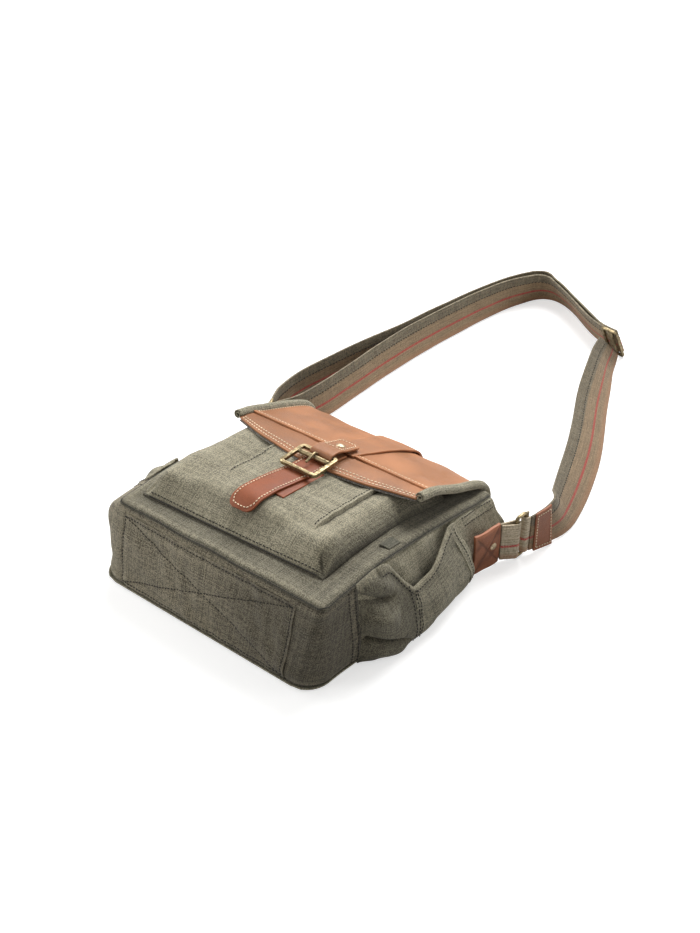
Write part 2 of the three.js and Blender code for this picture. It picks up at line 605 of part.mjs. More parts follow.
// A leather tab folded round the buckle's rear bar. Its upper layer lies on the flap strap.
function buckleTab() {
  const onFlap = (y, lift) => along(FLAP_RUN, 'y', 'z', y) + LEATHER / 2 + lift;
  const barZ = buckleZ(BAR_Y);
  const under = stops(TAB.underBack, TAB.underFront, 2)
    .map((y) => new THREE.Vector2(y, onFlap(y, CURVED_GAP + TAB.thick / 2)));
  const round = stops(-0.45, 0.5, 6).map((turn) => new THREE.Vector2(
    BAR_Y - TAB.barRadius * Math.cos(turn * Math.PI), barZ + TAB.barRadius * Math.sin(turn * Math.PI)));
  const overBar = new THREE.Vector2(TAB.underFront, barZ + TAB.overBar);
  const top = TAB_TOP.map((row) => new THREE.Vector2(row.y, onFlap(row.y, row.lift)));
  const curve = new THREE.SplineCurve([...under, ...round, overBar, ...top]);
  const place = (a, b) => {
    const point = curve.getPoint(Math.min(Math.max(b, 0), 1));
    return new THREE.Vector3(TAB.middleX + a * TAB.wide / 2, point.x, point.y);
  };
  return { curve, geometry: sheet(place, [-1, 0, 1], stops(0, 1, 30), TAB.thick) };
}

function rivetDome(radius, rise) {
  const profile = RIVET_DOME.map((row) => new THREE.Vector2(row.out * radius, row.up * rise));
  return new THREE.LatheGeometry(profile, 14);
}

function buckleRivet(tabCurve) {
  const trail = tabCurve.getPoints(FLAP_STEPS);
  const upper = trail.filter((point) => point.y > along(FLAP_RUN, 'y', 'z', point.x) + RIVET.seatRise);
  const apart = (point) => Math.abs(point.x - RIVET.y);
  const seat = upper.reduce((best, point) => (apart(point) < apart(best) ? point : best));
  const geometry = rivetDome(RIVET.radius, RIVET.rise);
  geometry.rotateX(Math.PI / 2);
  const next = trail[trail.indexOf(seat) + 1];
  geometry.rotateX(Math.atan2(next.y - seat.y, next.x - seat.x));
  geometry.translate(RIVET.x, seat.x, seat.y + TAB.thick / 2 + CURVED_GAP);
  return geometry;
}

// Closure strap: it lies on the front pocket and its backing and runs up under the buckle's bars onto the flap.

function pocketTop(x, y) {
  const b = (y - POCKET.low) / (POCKET.high - POCKET.low);
  return pocketPoint((x - POCKET.middleX) / POCKET.half, b).z + POCKET_CLOTH / 2;
}

function closureBacking() {
  const place = (a, b) => {
    const y = mix(BACKING.low, BACKING.high, b);
    const z = pocketTop(BACKING.x, y) + CURVED_GAP + BACKING.thick / 2;
    return new THREE.Vector3(BACKING.x + a * BACKING.wide / 2, y, z);
  };
  return sheet(place, [-1, 0, 1], stops(0, 1, 8), BACKING.thick);
}

function closureStrap() {
  const tipRound = CLOSURE.wide / 2;
  const place = (a, b) => {
    const y = mix(CLOSURE.tipY, CLOSURE.headY, b);
    const fromTip = Math.min(Math.max(y - CLOSURE.tipY, 0) + CLOSURE.tipBlunt, tipRound);
    const half = Math.sqrt(tipRound ** 2 - (tipRound - fromTip) ** 2);
    const x = mix(CLOSURE.tipX, CLOSURE.headX, b) + a * half;
    return new THREE.Vector3(x, y, pocketTop(0, y) + along(CLOSURE_LIFT, 'y', 'lift', y));
  };
  return sheet(place, [-1, 0, 1], [0, 0.02, 0.06, ...stops(0.12, 1, 16)], CLOSURE.thick);
}

// A plain cloth tag beside the front pocket's right seam.
function sideTag() {
  const geometry = new THREE.BoxGeometry(TAG.wide, TAG.tall, TAG.thick);
  const rise = frontZ(TAG.y + TAG.tall / 2) - frontZ(TAG.y - TAG.tall / 2);
  geometry.rotateX(Math.atan2(rise, TAG.tall));
  geometry.translate(TAG.x, TAG.y, frontZ(TAG.y) + CURVED_GAP + TAG.thick / 2);
  return geometry;
}

// Shoulder strap and its hardware

function anchorPoint(side, y, z) {
  const share = (y - ANCHOR.low) / (ANCHOR.high - ANCHOR.low);
  return new THREE.Vector3(side * (ANCHOR.x + ANCHOR.spread * share), y, z);
}

function strapAnchor(side) {
  const place = (a, b) => {
    const y = mix(ANCHOR.low, ANCHOR.high, a);
    return anchorPoint(side, y, mix(ANCHOR.lowZ, ANCHOR.highZ, b));
  };
  return sheet(place, stops(0, 1, 2), stops(0, 1, 2), ANCHOR.thick);
}

function anchorRivet(side) {
  const geometry = rivetDome(ANCHOR_RIVET.radius, ANCHOR_RIVET.rise);
  const seat = anchorPoint(side, ANCHOR_RIVET.y, ANCHOR_RIVET.z);
  const ahead = anchorPoint(side, ANCHOR_RIVET.y + 1, ANCHOR_RIVET.z).sub(seat);
  const outward = new THREE.Vector3(side * ahead.y, -side * ahead.x, 0).normalize();
  geometry.applyQuaternion(new THREE.Quaternion().setFromUnitVectors(new THREE.Vector3(0, 1, 0), outward));
  const stand = outward.multiplyScalar(ANCHOR.thick / 2 + CURVED_GAP);
  geometry.translate(seat.x + stand.x, seat.y + stand.y, seat.z);
  return geometry;
}

// Plan of a loop that comes from a start, goes round a bar and goes back to an end.
function loopPlan(start, bar, end, radius) {
  const back = new THREE.Vector2().addVectors(start, end).multiplyScalar(0.5).sub(bar).normalize();
  const aside = new THREE.Vector2(-back.y, back.x);
  const first = Math.sign(new THREE.Vector2().subVectors(start, bar).dot(aside)) || 1;
  const round = stops(0, Math.PI, 6).map((turn) => bar.clone()
    .addScaledVector(aside, first * radius * Math.cos(turn))
    .addScaledVector(back, -radius * Math.sin(turn)));
  return [start, ...round, end];
}

function upright(plan, lowZ, tall, thickness, count) {
  const curve = new THREE.SplineCurve(plan);
  const place = (a, b) => {
    const point = curve.getPoint(Math.min(Math.max(a, 0), 1));
    return new THREE.Vector3(point.x, point.y, lowZ + b * tall);
  };
  return sheet(place, stops(0, 1, count), [0, 1], thickness);
}

// The short webbing loop between the leather anchor and the ring's near bar.
function ringLoop(side, bar) {
  const root = anchorPoint(side, ANCHOR.high, 0);
  const start = new THREE.Vector2(root.x + side * RING_LOOP.outX, root.y + RING_LOOP.outY);
  const end = new THREE.Vector2(root.x - side * RING_LOOP.inX, root.y + RING_LOOP.inY);
  return upright(loopPlan(start, bar, end, LOOP_RADIUS), STRAP_LIFT, STRAP_WIDE, RING_LOOP.thick, 24);
}

function strapRing(bars) {
  const near = new THREE.Vector3(bars.near.x, bars.near.y, 0);
  const far = new THREE.Vector3(bars.far.x, bars.far.y, 0);
  const flat = far.clone().sub(near);
  const wide = flat.length();
  flat.normalize();
  const outline = roundedBox(wide, RING.highZ - RING.lowZ, RING.corner).extractPoints(4).shape;
  const nearest = 0.05;
  const corners = outline.filter((point, i) => point.distanceTo(outline.at(i - 1)) > nearest);
  const middle = near.clone().add(far).multiplyScalar(0.5).setZ((RING.lowZ + RING.highZ) / 2);
  const up = new THREE.Vector3(0, 0, 1);
  const onRing = (point) => middle.clone().addScaledVector(flat, point.x).addScaledVector(up, point.y);
  const route = corners.map(onRing);
  const normal = flat.clone().cross(up);
  return wireRing(route, normal, RING.wire, 8);
}

// A point of a strap that stands on its edge along a route: a share of the way along, a height up the strap and
// a distance out of its right-hand face.
function strapPlace(route) {
  const spine = new THREE.CatmullRomCurve3(route.map((row) => new THREE.Vector3(row.x, row.y, row.lift)));
  const tilt = new THREE.CatmullRomCurve3(route.map((row) => new THREE.Vector3(row.lean, 0, 0)));
  return (share, height, out) => {
    const held = Math.min(Math.max(share, 0), 1);
    const heading = spine.getTangent(held).setZ(0).normalize();
    const lean = THREE.MathUtils.degToRad(tilt.getPoint(held).x);
    const up = new THREE.Vector3(-heading.y * Math.sin(lean), heading.x * Math.sin(lean), Math.cos(lean));
    const right = heading.clone().cross(up);
    return spine.getPoint(held).addScaledVector(up, height).addScaledVector(right, out);
  };
}

// A run of the strap along a route. Its upper edge is cut short at the end by a share of its length.
function strapRun(route, count, cut) {
  const place = strapPlace(route);
  return sheet((a, b) => place(a * (1 - cut * b), b * STRAP_WIDE, 0), stops(0, 1, count), [0, 1], WEBBING);
}

// The strap's fold round the left ring, joining the far and near runs.
function strapFold() {
  const bar = LEFT_RING.far;
  const far = FAR_ROUTE.at(-1);
  const near = NEAR_ROUTE[0];
  const start = new THREE.Vector2(far.x + FOLD.shift, far.y - FOLD.seamGap);
  const end = new THREE.Vector2(near.x - FOLD.shift, near.y - FOLD.seamGap);
  return upright(loopPlan(start, bar, end, FOLD.radius), STRAP_LIFT, STRAP_WIDE, FOLD.thick, 24);
}

// The strap's sewn end round the right ring: it turns back along the inside of the right run.
function strapEndLoop() {
  const bar = RIGHT_RING.far;
  const first = RIGHT_ROUTE[0];
  const start = new THREE.Vector2(first.x - END_LOOP.shift, first.y - END_LOOP.seamGap);
  const end = new THREE.Vector2(bar.x - LOOP_RADIUS + END_LOOP.inset, bar.y + END_LOOP.back);
  return upright(loopPlan(start, bar, end, LOOP_RADIUS), STRAP_LIFT, STRAP_WIDE, END_LOOP.thick, 24);
}

// A leather patch over the strap's sewn end.
function strapPatch() {
  const place = strapPlace(RIGHT_ROUTE);
  const out = WEBBING / 2 + CURVED_GAP + STRAP_PATCH.thick / 2;
  const heights = stops(STRAP_PATCH.low, STRAP_PATCH.high, 3);
  const shares = stops(STRAP_PATCH.from, STRAP_PATCH.to, 5);
  return sheet((a, b) => place(a, b, out), shares, heights, STRAP_PATCH.thick);
}

function strapSlider() {
  const shape = roundedBox(SLIDER.long, SLIDER.tall, SLIDER.corner);
  const windowWide = (SLIDER.long - 3 * SLIDER.bar) / 2;
  for (const side of [-1, 1]) {
    const hole = roundedBox(windowWide, SLIDER.tall - 2 * SLIDER.bar, SLIDER.innerCorner);
    const shift = new THREE.Vector2(side * (windowWide + SLIDER.bar) / 2, 0);
    shape.holes.push(new THREE.Path(hole.extractPoints(3).shape.map((point) => point.add(shift))));
  }
  const depth = SLIDER.thick;
  const geometry = new THREE.ExtrudeGeometry(shape, { depth, bevelEnabled: false, curveSegments: 3 });
  geometry.translate(0, 0, -SLIDER.thick / 2);
  geometry.translate(0, SLIDER.tall / 2, 0);
  geometry.rotateX(Math.PI / 2 - THREE.MathUtils.degToRad(SLIDER.lean));
  geometry.rotateZ(THREE.MathUtils.degToRad(SLIDER.turn));
  geometry.translate(SLIDER.x, SLIDER.y, SLIDER.low);
  return geometry;
}

piece('back_panel', backPanel(), 'canvas');
piece('front_panel', frontPanel(), 'canvas');
piece('base_gusset', baseGusset(), 'baseCanvas');
piece('base_patch', basePatch(), 'baseCanvas');
for (const [name, side, bars] of [['left', -1, LEFT_RING], ['right', 1, RIGHT_RING]]) {
  const { low, welt, high, seamGap } = SIDE_POCKET;
  const lower = sidePocketPanel(side, low, welt, LOWER_PANEL_REACH);
  const upper = sidePocketPanel(side, welt.map((y) => y + seamGap), high, UPPER_PANEL_REACH);
  const hem = sidePocketPanel(side, SIDE_HEM.low, SIDE_HEM.high, UPPER_PANEL_REACH);
  piece(`side_gusset_${name}`, sideGusset(side), 'canvas');
  piece(`side_pocket_lower_${name}`, lower, 'canvas');
  piece(`side_pocket_upper_${name}`, upper, 'canvas');
  piece(`side_hem_${name}`, hem, 'canvas');
  piece(`flap_roll_${name}`, flapRoll(side), 'canvas');
  piece(`strap_anchor_${name}`, strapAnchor(side), 'strapLeather');
  piece(`anchor_rivet_${name}`, anchorRivet(side), 'brass');
  piece(`ring_loop_${name}`, ringLoop(side, bars.near), 'webbing');
  piece(`strap_ring_${name}`, strapRing(bars), 'brass');
}
piece('front_pocket', frontPocket(), 'canvas');
piece('side_tag', sideTag(), 'lining');
piece('flap_leather', flapLeather(), 'leather');
piece('flap_front_band', flapFrontBand(), 'leather');
piece('flap_lining', flapLining(), 'lining');
piece('flap_strap', flapStrap(), 'leather');
const tab = buckleTab();
piece('buckle_tab', tab.geometry, 'leather');
piece('buckle_rivet', buckleRivet(tab.curve), 'brass');
piece('buckle_frame', buckleFrame(), 'brass');
piece('buckle_roller', buckleRoller(), 'brass');
piece('buckle_prong', buckleProng(), 'brass');
piece('closure_backing', closureBacking(), 'strapLeather');
piece('closure_strap', closureStrap(), 'strapLeather');
piece('strap_end_loop', strapEndLoop(), 'webbing');
piece('strap_right_run', strapRun(RIGHT_ROUTE, 34, RIGHT_CUT), 'webbing');
piece('strap_far_run', strapRun(FAR_ROUTE, 52, 0), 'webbing');
piece('strap_fold', strapFold(), 'webbing');
piece('strap_near_run', strapRun(NEAR_ROUTE, 52, 0), 'webbing');
piece('strap_patch', strapPatch(), 'strapLeather');
piece('strap_slider', strapSlider(), 'brass');

export default bag;
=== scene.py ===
"""A canvas shoulder bag with a leather flap, lying on its back with its shoulder strap laid out behind it.

Places are worked out in millimetres, as on the maker's drawing: X across the bag, Y from the lower front
seam to the top and Z up from the floor. Finished meshes are in metres, in the frame's own place.
"""

import functools
import math

import bpy
import numpy as np
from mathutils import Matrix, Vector


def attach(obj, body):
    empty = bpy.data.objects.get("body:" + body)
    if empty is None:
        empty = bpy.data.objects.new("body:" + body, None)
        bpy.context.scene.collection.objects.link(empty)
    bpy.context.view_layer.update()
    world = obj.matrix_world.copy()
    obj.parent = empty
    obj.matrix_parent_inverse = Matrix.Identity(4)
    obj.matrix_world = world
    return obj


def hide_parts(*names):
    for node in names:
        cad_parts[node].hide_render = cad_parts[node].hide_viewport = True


bl_info = {
    "name": "Canvas shoulder bag",
    "version": (1, 0, 0),
    "blender": (4, 5, 0),
    "location": "3D View > Sidebar > Bag",
    "description": "Models a canvas shoulder bag with a leather flap, piece by piece",
    "category": "Add Mesh",
}

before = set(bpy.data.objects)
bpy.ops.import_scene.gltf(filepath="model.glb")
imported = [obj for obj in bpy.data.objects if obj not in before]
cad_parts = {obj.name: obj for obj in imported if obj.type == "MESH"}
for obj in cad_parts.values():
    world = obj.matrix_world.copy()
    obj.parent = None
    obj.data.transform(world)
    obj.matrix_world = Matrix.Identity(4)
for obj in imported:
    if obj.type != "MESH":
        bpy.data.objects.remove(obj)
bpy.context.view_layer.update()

MM = 0.001
REST_MIDDLE_Y = 118
SIDES = {"left": -1, "right": 1}
WHITE = (1, 1, 1)

# Body
BACK_HALF, BACK_LOW, BACK_HIGH, BACK_Z = 120, -14, 245, 0.65
BACK_LOW_CORNER, BACK_HIGH_CORNER, BACK_RIM, BACK_RIM_RISE = 22, 8, 9, 2.4
FRONT_HALF, FRONT_TOP, FRONT_CORNER, FRONT_SINK = 110, 232, 5, 0.6
LEAN, LEAN_FADE_Y = 12, 110
# The side walls: foot over the floor, edge below the front panel, height, and upper ends at back and front
WALL_FOOT_Z, WALL_EDGE_DROP, WALL_HEIGHT, WALL_END_Y = 3.2, 1.6, 80, (243, 230)

# Rows of (y, height of the front panel over the floor)
FRONT_RISE = [
    (-4, 82.6), (0, 83.5), (33, 84), (65, 84), (99, 80), (135, 74), (163, 67), (200, 59), (232, 53),
    (250, 50),
]
# Rows of (y, how far the side walls swell out)
SIDE_SWELL = [(-20, 1.5), (15, 1.5), (38, 2), (60, 4), (100, 5), (150, 6), (180, 7), (250, 6)]
# Rows of (share of the wall's height, how far the left side slouches out near the base)
SLOUCH = [(0, 0), (0.3, 3), (0.55, 8), (0.75, 11.5), (0.88, 8.5), (0.96, 3), (1, 0)]
SLOUCH_FROM_Y, SLOUCH_TO_Y = 45, 105

# Folds: rows of (bent line of places on the cloth, width, rise), where a hollow's rise is negative

# Base strip in five stretches: left side, left corner, base, right corner and right side
STRETCH_SHARES = [0, 0.093, 0.169, 0.831, 0.907, 1]
BASE_SEAM_Y, BASE_END_Y, BASE_LENGTH = 38, 39.6, 302
# Its low edge and the radius of its corners, at the back panel and at the front panel
BASE_LOW, BASE_CORNER = (-12.4, 0.6), (22, 6)
BASE_FOLDS = [
    ([(62, 70), (78, 60), (96, 58)], 5, -0.8),
    ([(150, 8), (185, 14), (215, 10)], 6, -1.0),
]
# The base's second layer, in shares of the strip's length and width
PATCH_LEFT, PATCH_RIGHT, PATCH_LOW, PATCH_HIGH, PATCH_SLANT = 0.176, 0.775, 0.02, 0.93, 0.036
PATCH_LIFT = 1.3

# Side pockets: rows of (y, how far they puff out)
POCKET_PUFF = [(38, 0), (47, 8), (60, 12), (80, 13), (133, 12), (165, 8), (176, 4.5), (184, 2.5)]
# Rows of (share of the panel from floor to front seam, share of the wall's height)
PUFF_RISE = [
    (0, 0), (0.1, 0.008), (0.2, 0.04), (0.3, 0.1), (0.45, 0.25), (0.6, 0.43), (0.75, 0.62), (0.88, 0.81),
    (1, 1),
]
# Rows of (the same share of the panel, share of the puff)
PUFF_SHARE = [
    (0, 0.03), (0.1, 0.55), (0.2, 0.86), (0.3, 1), (0.45, 1), (0.6, 0.8), (0.75, 0.5), (0.88, 0.2), (1, 0),
]
# Rows of (y, share of the wall's height that the side pocket's panel covers), below and above its notch
LOWER_REACH = [(30, 1), (70, 1), (77, 0.975), (82, 0.9), (87, 0.82), (94, 0.74)]
UPPER_REACH = [(86, 0.75), (104, 0.765), (119, 0.785), (135, 0.85), (150, 0.93), (160, 0.975), (176, 0.985)]
# Where the seams of the side pockets lie, at the floor and at the front seam
SIDE_FOOT_Y, WELT_Y, HEM_Y = np.array([38.6, 38.6]), np.array([86, 91.5]), np.array([174.5, 159.5])
WELT_OVERLAP, HEM_OVERLAP, HEM_WIDTH = 1.6, 1.5, 9.4
# Folds by y and by percent of the panel from floor to front seam
SIDE_POCKET_FOLDS = [
    ([(34, 94), (44, 88), (54, 83), (62, 80), (70, 79)], 2.3, -7),
    ([(46, 96), (60, 90), (74, 83)], 5, 3),
    ([(42, 74), (54, 68), (70, 60)], 9, 4.6),
    ([(34, 56), (46, 49), (56, 43), (66, 38), (78, 31)], 2.8, -9),
    ([(44, 38), (58, 28), (76, 19)], 6, 3.4),
    ([(104, 40), (125, 52), (150, 66)], 9, 1.6),
    ([(110, 20), (140, 26), (168, 40)], 8, -1.6),
]

# Front pocket, with rows of (y, how far it stands off the front panel)
POCKET_X, POCKET_HALF, POCKET_LOW, POCKET_HIGH, POCKET_SKEW = -5, 93, 22, 190, 0.047
POCKET_DEEP = [(20, 20.5), (60, 19.8), (100, 18.5), (132, 18.9), (145, 19.6), (165, 16), (190, 10.8)]
# How far in its sides are rounded, how far its lower wall slopes at the sides and at the middle, and the
# share of that slope that rounds off
SIDE_ROUND, SIDE_SLOPE, MIDDLE_SLOPE, SLOPE_ROUND = 17, 15, 27, 0.25
LEFT_PLEAT_X, RIGHT_PLEAT_X, LEFT_PLEAT_FOOT, RIGHT_PLEAT_FOOT = -47, 60, 62, 48
RIGHT_DART = [(POCKET_X + 93, 26.5), (POCKET_X + 82, 37)]
LEFT_DART = [(POCKET_X - 93, 17.5), (POCKET_X - 83, 27)]
DARTS = [(RIGHT_DART, 1.6, -1.6), (LEFT_DART, 1.6, -1.4)]
POCKET_FOLDS = [
    ([(-92, 46), (-70, 42), (-44, 40), (-22, 38)], 9, -2.6),
    ([(-86, 66), (-70, 64), (-48, 66)], 3.5, 1.1),
    ([(22, 36), (42, 44), (60, 44), (74, 40)], 9, -2.2),
    ([(62, 54), (72, 50), (84, 52)], 4, 1.0),
    ([(70, 62), (76, 90), (78, 120)], 7, -1.4),
    ([(-84, 74), (-88, 100), (-82, 124)], 8, -1.2),
]
TAG_X, TAG_Y, TAG_LONG, TAG_TALL = 94.8, 87.5, 10.4, 15

# Flap: rows of (y, z) from its front edge over the fold to the back panel's top edge
FLAP_X, FLAP_HALF, FLAP_SEAM_Y, FLAP_CORNER_Y, FLAP_MIDDLE_Y, FLAP_FOLD_Y = -1.5, 96, 155, 138, 121, 232
FLAP_DROOP, LINING_END_Y = 5, 222
FLAP_RUN = [
    (112, 100.8), (121, 100.4), (130, 99.6), (142, 97.8), (157, 93.5), (175, 86.6), (195, 78.5), (215, 70.2),
    (228, 63.5), (236, 57), (241.5, 48), (245, 36), (246.8, 22), (247.2, 8), (247.2, 1.4),
]
# Folds by x and by length along the flap
FLAP_FOLDS = [
    ([(-80, 70), (-50, 74), (-20, 70)], 10, -0.9),
    ([(40, 86), (70, 80), (90, 84)], 9, -1.0),
]
ROLL_RADIUS, ROLL_OUTER, ROLL_INNER, ROLL_TURNS, ROLL_END_Z = 4.6, 4.5, 1.1, 1.8, 40

# Buckle, its tab and the closure strap, with rows of (y, how far the strap lies over the front pocket)
BUCKLE_X, BUCKLE_Y, BUCKLE_WIDE, BUCKLE_TALL, BUCKLE_BAR = 0.8, 115.5, 39, 33, 3.2
BUCKLE_FRONT_Z, BUCKLE_SLOPE, BUCKLE_CORNER, BUCKLE_THICK, BUCKLE_SOFT = 107.4, 0.037, 4.2, 3.0, 1.1
ROLLER_Y, ROLLER_RADIUS, PRONG_RADIUS = 122.6, 2.2, 1.2
# Rows of (y from the roller, z from the prong's top)
PRONG_RUN = [(3.4, -2.2), (2.6, -0.6), (0.6, 0.2), (-2, 0), (-5, -0.7), (-8, -1.7), (-11, -2.6)]
TAB_X, TAB_HALF, TAB_TURN_RADIUS, TAB_CORNER, TAB_CORNER_IN = 4, 11.3, 3.5, 5, 3.5
TAB_RIVET_X, TAB_RIVET_Y, TAB_RIVET_RADIUS, TAB_RIVET_RISE = 5.4, 152.4, 4.2, 1.9
CLOSURE_LIFT = [
    (35, 7.4), (45, 5.6), (55, 4), (64, 4), (80, 3.9), (104, 3.9), (112, 4.4), (119, 5.4), (126, 6.2),
]
CLOSURE_TIP, CLOSURE_HEAD, CLOSURE_HALF, CLOSURE_TIP_ROUND = (-6, 35), (2.5, 126), 12.5, 8
BACKING_X, BACKING_HALF, BACKING_LOW, BACKING_HIGH, BACKING_LIFT = 4, 13, 64, 116, 1.5

# Strap hardware
ANCHOR_LOW, ANCHOR_HIGH, ANCHOR_X, ANCHOR_SPREAD = 182.5, 212.5, 126.4, 6.4
ANCHOR_LONG, ANCHOR_TALL, ANCHOR_FOOT_Z, ANCHOR_TOP_Z = 31, 41, 2.6, 44
ANCHOR_RIVET_Y, ANCHOR_RIVET_Z, ANCHOR_RIVET_RADIUS, ANCHOR_RIVET_RISE = 204, 24, 3.6, 1.5
RING_LOW_Z, RING_HIGH_Z, RING_CORNER = 1.9, 46, 3.0
# Each ring's near and far bars
RING_BARS = {"left": ((-142.5, 227), (-149.5, 239)), "right": ((141.6, 224.8), (143.1, 237.1))}
SLIDER_X, SLIDER_Y, SLIDER_Z, SLIDER_TURN, SLIDER_LEAN = 45.5, 599.5, 0.8, 168, 29
SLIDER_LONG, SLIDER_TALL, SLIDER_CORNER, SLIDER_BAR, SLIDER_THICK, SLIDER_SOFT = 22, 43, 3.0, 2.6, 2.6, 0.9

# The strap's routes at its lower edge: rows of (x, y, lift, lean in degrees to the left of its travel)
RIGHT_ROUTE = [
    (146.6, 239.6, 3.9, 0), (148.4, 245, 3.6, 1), (155, 264, 2.6, 8), (160, 282, 1.8, 22),
    (159.5, 303, 1.5, 40), (146.5, 357, 1.4, 58), (126, 415, 1.4, 61), (91, 492, 1.4, 56),
    (64.5, 553, 1.6, 40), (55.8, 577, 1.7, 32), (48.2, 595.6, 2.4, 30),
]
FAR_ROUTE = [
    (52, 603.4, 3.9, 29), (34.8, 607.1, 3.9, 29), (21.5, 614.4, 2.8, 28), (7, 624, 1.6, 27),
    (-15, 641, 1.4, 27), (-40, 659.5, 1.4, 29), (-59, 670.5, 1.4, 29), (-76, 675, 1.4, 25),
    (-91, 669.5, 1.4, 19), (-103, 650, 1.4, 10), (-116.5, 590, 1.4, -4), (-129, 510, 1.4, -10),
    (-141, 442, 1.4, -8), (-153, 395, 1.4, -4), (-165, 335, 1.4, 0), (-168, 295, 1.6, 0),
    (-164, 266, 2.6, 0), (-157, 250, 3.9, 0), (-153.4, 243.4, 3.9, 0),
]
NEAR_ROUTE = [
    (-146.4, 243.4, 3.9, 0), (-143, 250, 3.9, 0), (-136, 267, 2.6, 4), (-131, 300, 1.5, 10),
    (-130, 361, 1.4, 12), (-129, 430, 1.4, 14), (-122, 510, 1.4, 10), (-111, 590, 1.4, 3),
    (-96.5, 644, 1.4, -10), (-87, 659, 1.4, -18), (-74, 664.5, 1.4, -23), (-58.5, 662, 1.4, -27),
    (-40.5, 652.5, 1.4, -28), (-16, 635, 1.4, -27), (6, 619.2, 1.6, -27), (19, 610.8, 2.8, -28),
    (34.2, 603.9, 3.9, -29), (51.3, 600.2, 3.9, -29),
]
# How much shorter the right run's upper edge is at the slider
RIGHT_CUT = 24
# Rows of (name, route, seed of its unevenness, cut, and a value that pales its tone above 0 and darkens it
# below 0)
STRAP_RUNS = [
    ("right", RIGHT_ROUTE, 101, RIGHT_CUT, -0.45),
    ("far", FAR_ROUTE, 103, 0, 0.1),
    ("near", NEAR_ROUTE, 105, 0, 0.1),
]
# The strap's width, and where the webbing's upper edge is sewn to the canvas band behind it
STRAP_WIDTH, STRAP_SEAM = 38, 27.6
STRAP_COLUMN = 3
LOOP_LIFT = 3.9
# The strap's leather patch: its ends along the right run, its lower and upper edges, and how far out it lies
STRAP_PATCH_ENDS, STRAP_PATCH_EDGES, STRAP_PATCH_OUT = (4.5, 26), (-1.5, 39.5), 2.4

# Camera: the pinhole that fits the photograph
CAMERA_TARGET = Vector((-0.05769, 0.12794, 0))
CAMERA_DISTANCE, CAMERA_AZIMUTH, CAMERA_ELEVATION = 1.17215, 38, 36
CAMERA_LENS, CAMERA_SENSOR = 61.714, 36
# Rows of (name, place, size, power), all aimed at one place
LAMPS = [
    ("Key light", (-0.3, 1.15, 1.4), 1.4, 52), ("Right light", (1.45, 1.0, 0.8), 1.2, 8),
    ("Left light", (-1.5, -0.3, 0.8), 1.3, 16), ("Fill light", (-0.6, -1.6, 1.0), 1.0, 10),
]
LAMP_AIM = Vector((0, 0.05, 0))


def length(name, description, millimetres):
    return bpy.props.FloatProperty(
        name=name, description=description, default=millimetres * MM, unit="LENGTH")


class BagSizes(bpy.types.PropertyGroup):
    """Sizes of the cloth, leather and thread."""

    canvas: length("Canvas", "Thickness of the canvas walls", 1.2)
    leather: length("Leather", "Thickness of the flap's leather", 2)
    strap_width: length("Strap width", "Width of the shoulder strap", STRAP_WIDTH)
    strap_thickness: length("Strap thickness", "Thickness of the shoulder strap", 2)
    stitch_pitch: length("Stitch pitch", "Distance from one stitch to the next", 3.4)
    stitch_width: length("Thread", "Thickness of the sewing thread", 1.15)
    ring_wire: length("Ring wire", "Radius of the strap rings' wire", 1.7)


def colour(name, description, default):
    return bpy.props.FloatVectorProperty(
        name=name, description=description, default=default, size=3, min=0, max=1, subtype="COLOR")


class BagColours(bpy.types.PropertyGroup):
    """Colours of the finishes."""

    canvas: colour("Canvas", "Washed olive-grey canvas", (0.28, 0.255, 0.182))
    base_canvas: colour("Base canvas", "Browner canvas of the base", (0.225, 0.198, 0.14))
    lining: colour("Lining", "Grey cotton under the flap", (0.2, 0.185, 0.165))
    tag: colour("Tag", "Small plain tag beside the front pocket", (0.1, 0.095, 0.07))
    leather: colour("Flap leather", "Tan leather of the flap", (0.31, 0.135, 0.061))
    strap_leather: colour("Strap leather", "Red-brown leather of the closure strap", (0.215, 0.06, 0.023))
    anchor_leather: colour(
        "Anchor leather", "Brown leather of the strap's anchors and patch", (0.29, 0.108, 0.053))
    leather_edge: colour("Cut edge", "Cut edges of the leather", (0.42, 0.17, 0.1))
    webbing: colour("Webbing", "Khaki cotton webbing", (0.262, 0.188, 0.115))
    loop_webbing: colour("Loop webbing", "Paler webbing of the loops", (0.41, 0.345, 0.25))
    red_line: colour("Red line", "Woven line along the webbing", (0.42, 0.035, 0.04))
    frayed_edge: colour("Frayed edge", "Rubbed lower edge of the webbing", (0.4, 0.2, 0.11))
    cream_thread: colour("Cream thread", "Stitches on leather", (0.85, 0.68, 0.48))
    dark_thread: colour("Dark thread", "Stitches on canvas", (0.02, 0.017, 0.012))
    brass: colour("Brass", "Antique brass of the buckle, rings and slider", (0.33, 0.26, 0.15))
    rivet: colour("Rivets", "Rubbed brass of the rivets", (0.62, 0.5, 0.34))
    floor: colour("Floor", "Studio floor", (0.6, 0.6, 0.6))


def size(name):
    """One of the bag's sizes, in millimetres."""
    return getattr(bpy.context.scene.bag_sizes, name) / MM


def colours():
    return bpy.context.scene.bag_colours


# Shapes

def smooth(table, at):
    """Smooth value through rows of (place, value), held at both ends."""
    keys, values = np.array(table, float).T
    at = np.clip(at, keys[0], keys[-1])
    i = np.clip(np.searchsorted(keys, at, side="right") - 1, 0, len(keys) - 2)
    order = np.arange(len(keys))
    before, after = np.maximum(order - 1, 0), np.minimum(order + 1, len(keys) - 1)
    slopes = (values[after] - values[before]) / (keys[after] - keys[before])
    span = keys[i + 1] - keys[i]
    s = (at - keys[i]) / span
    square, cube = s * s, s * s * s
    start = (2 * cube - 3 * square + 1) * values[i] + (cube - 2 * square + s) * span * slopes[i]
    return start + (3 * square - 2 * cube) * values[i + 1] + (cube - square) * span * slopes[i + 1]


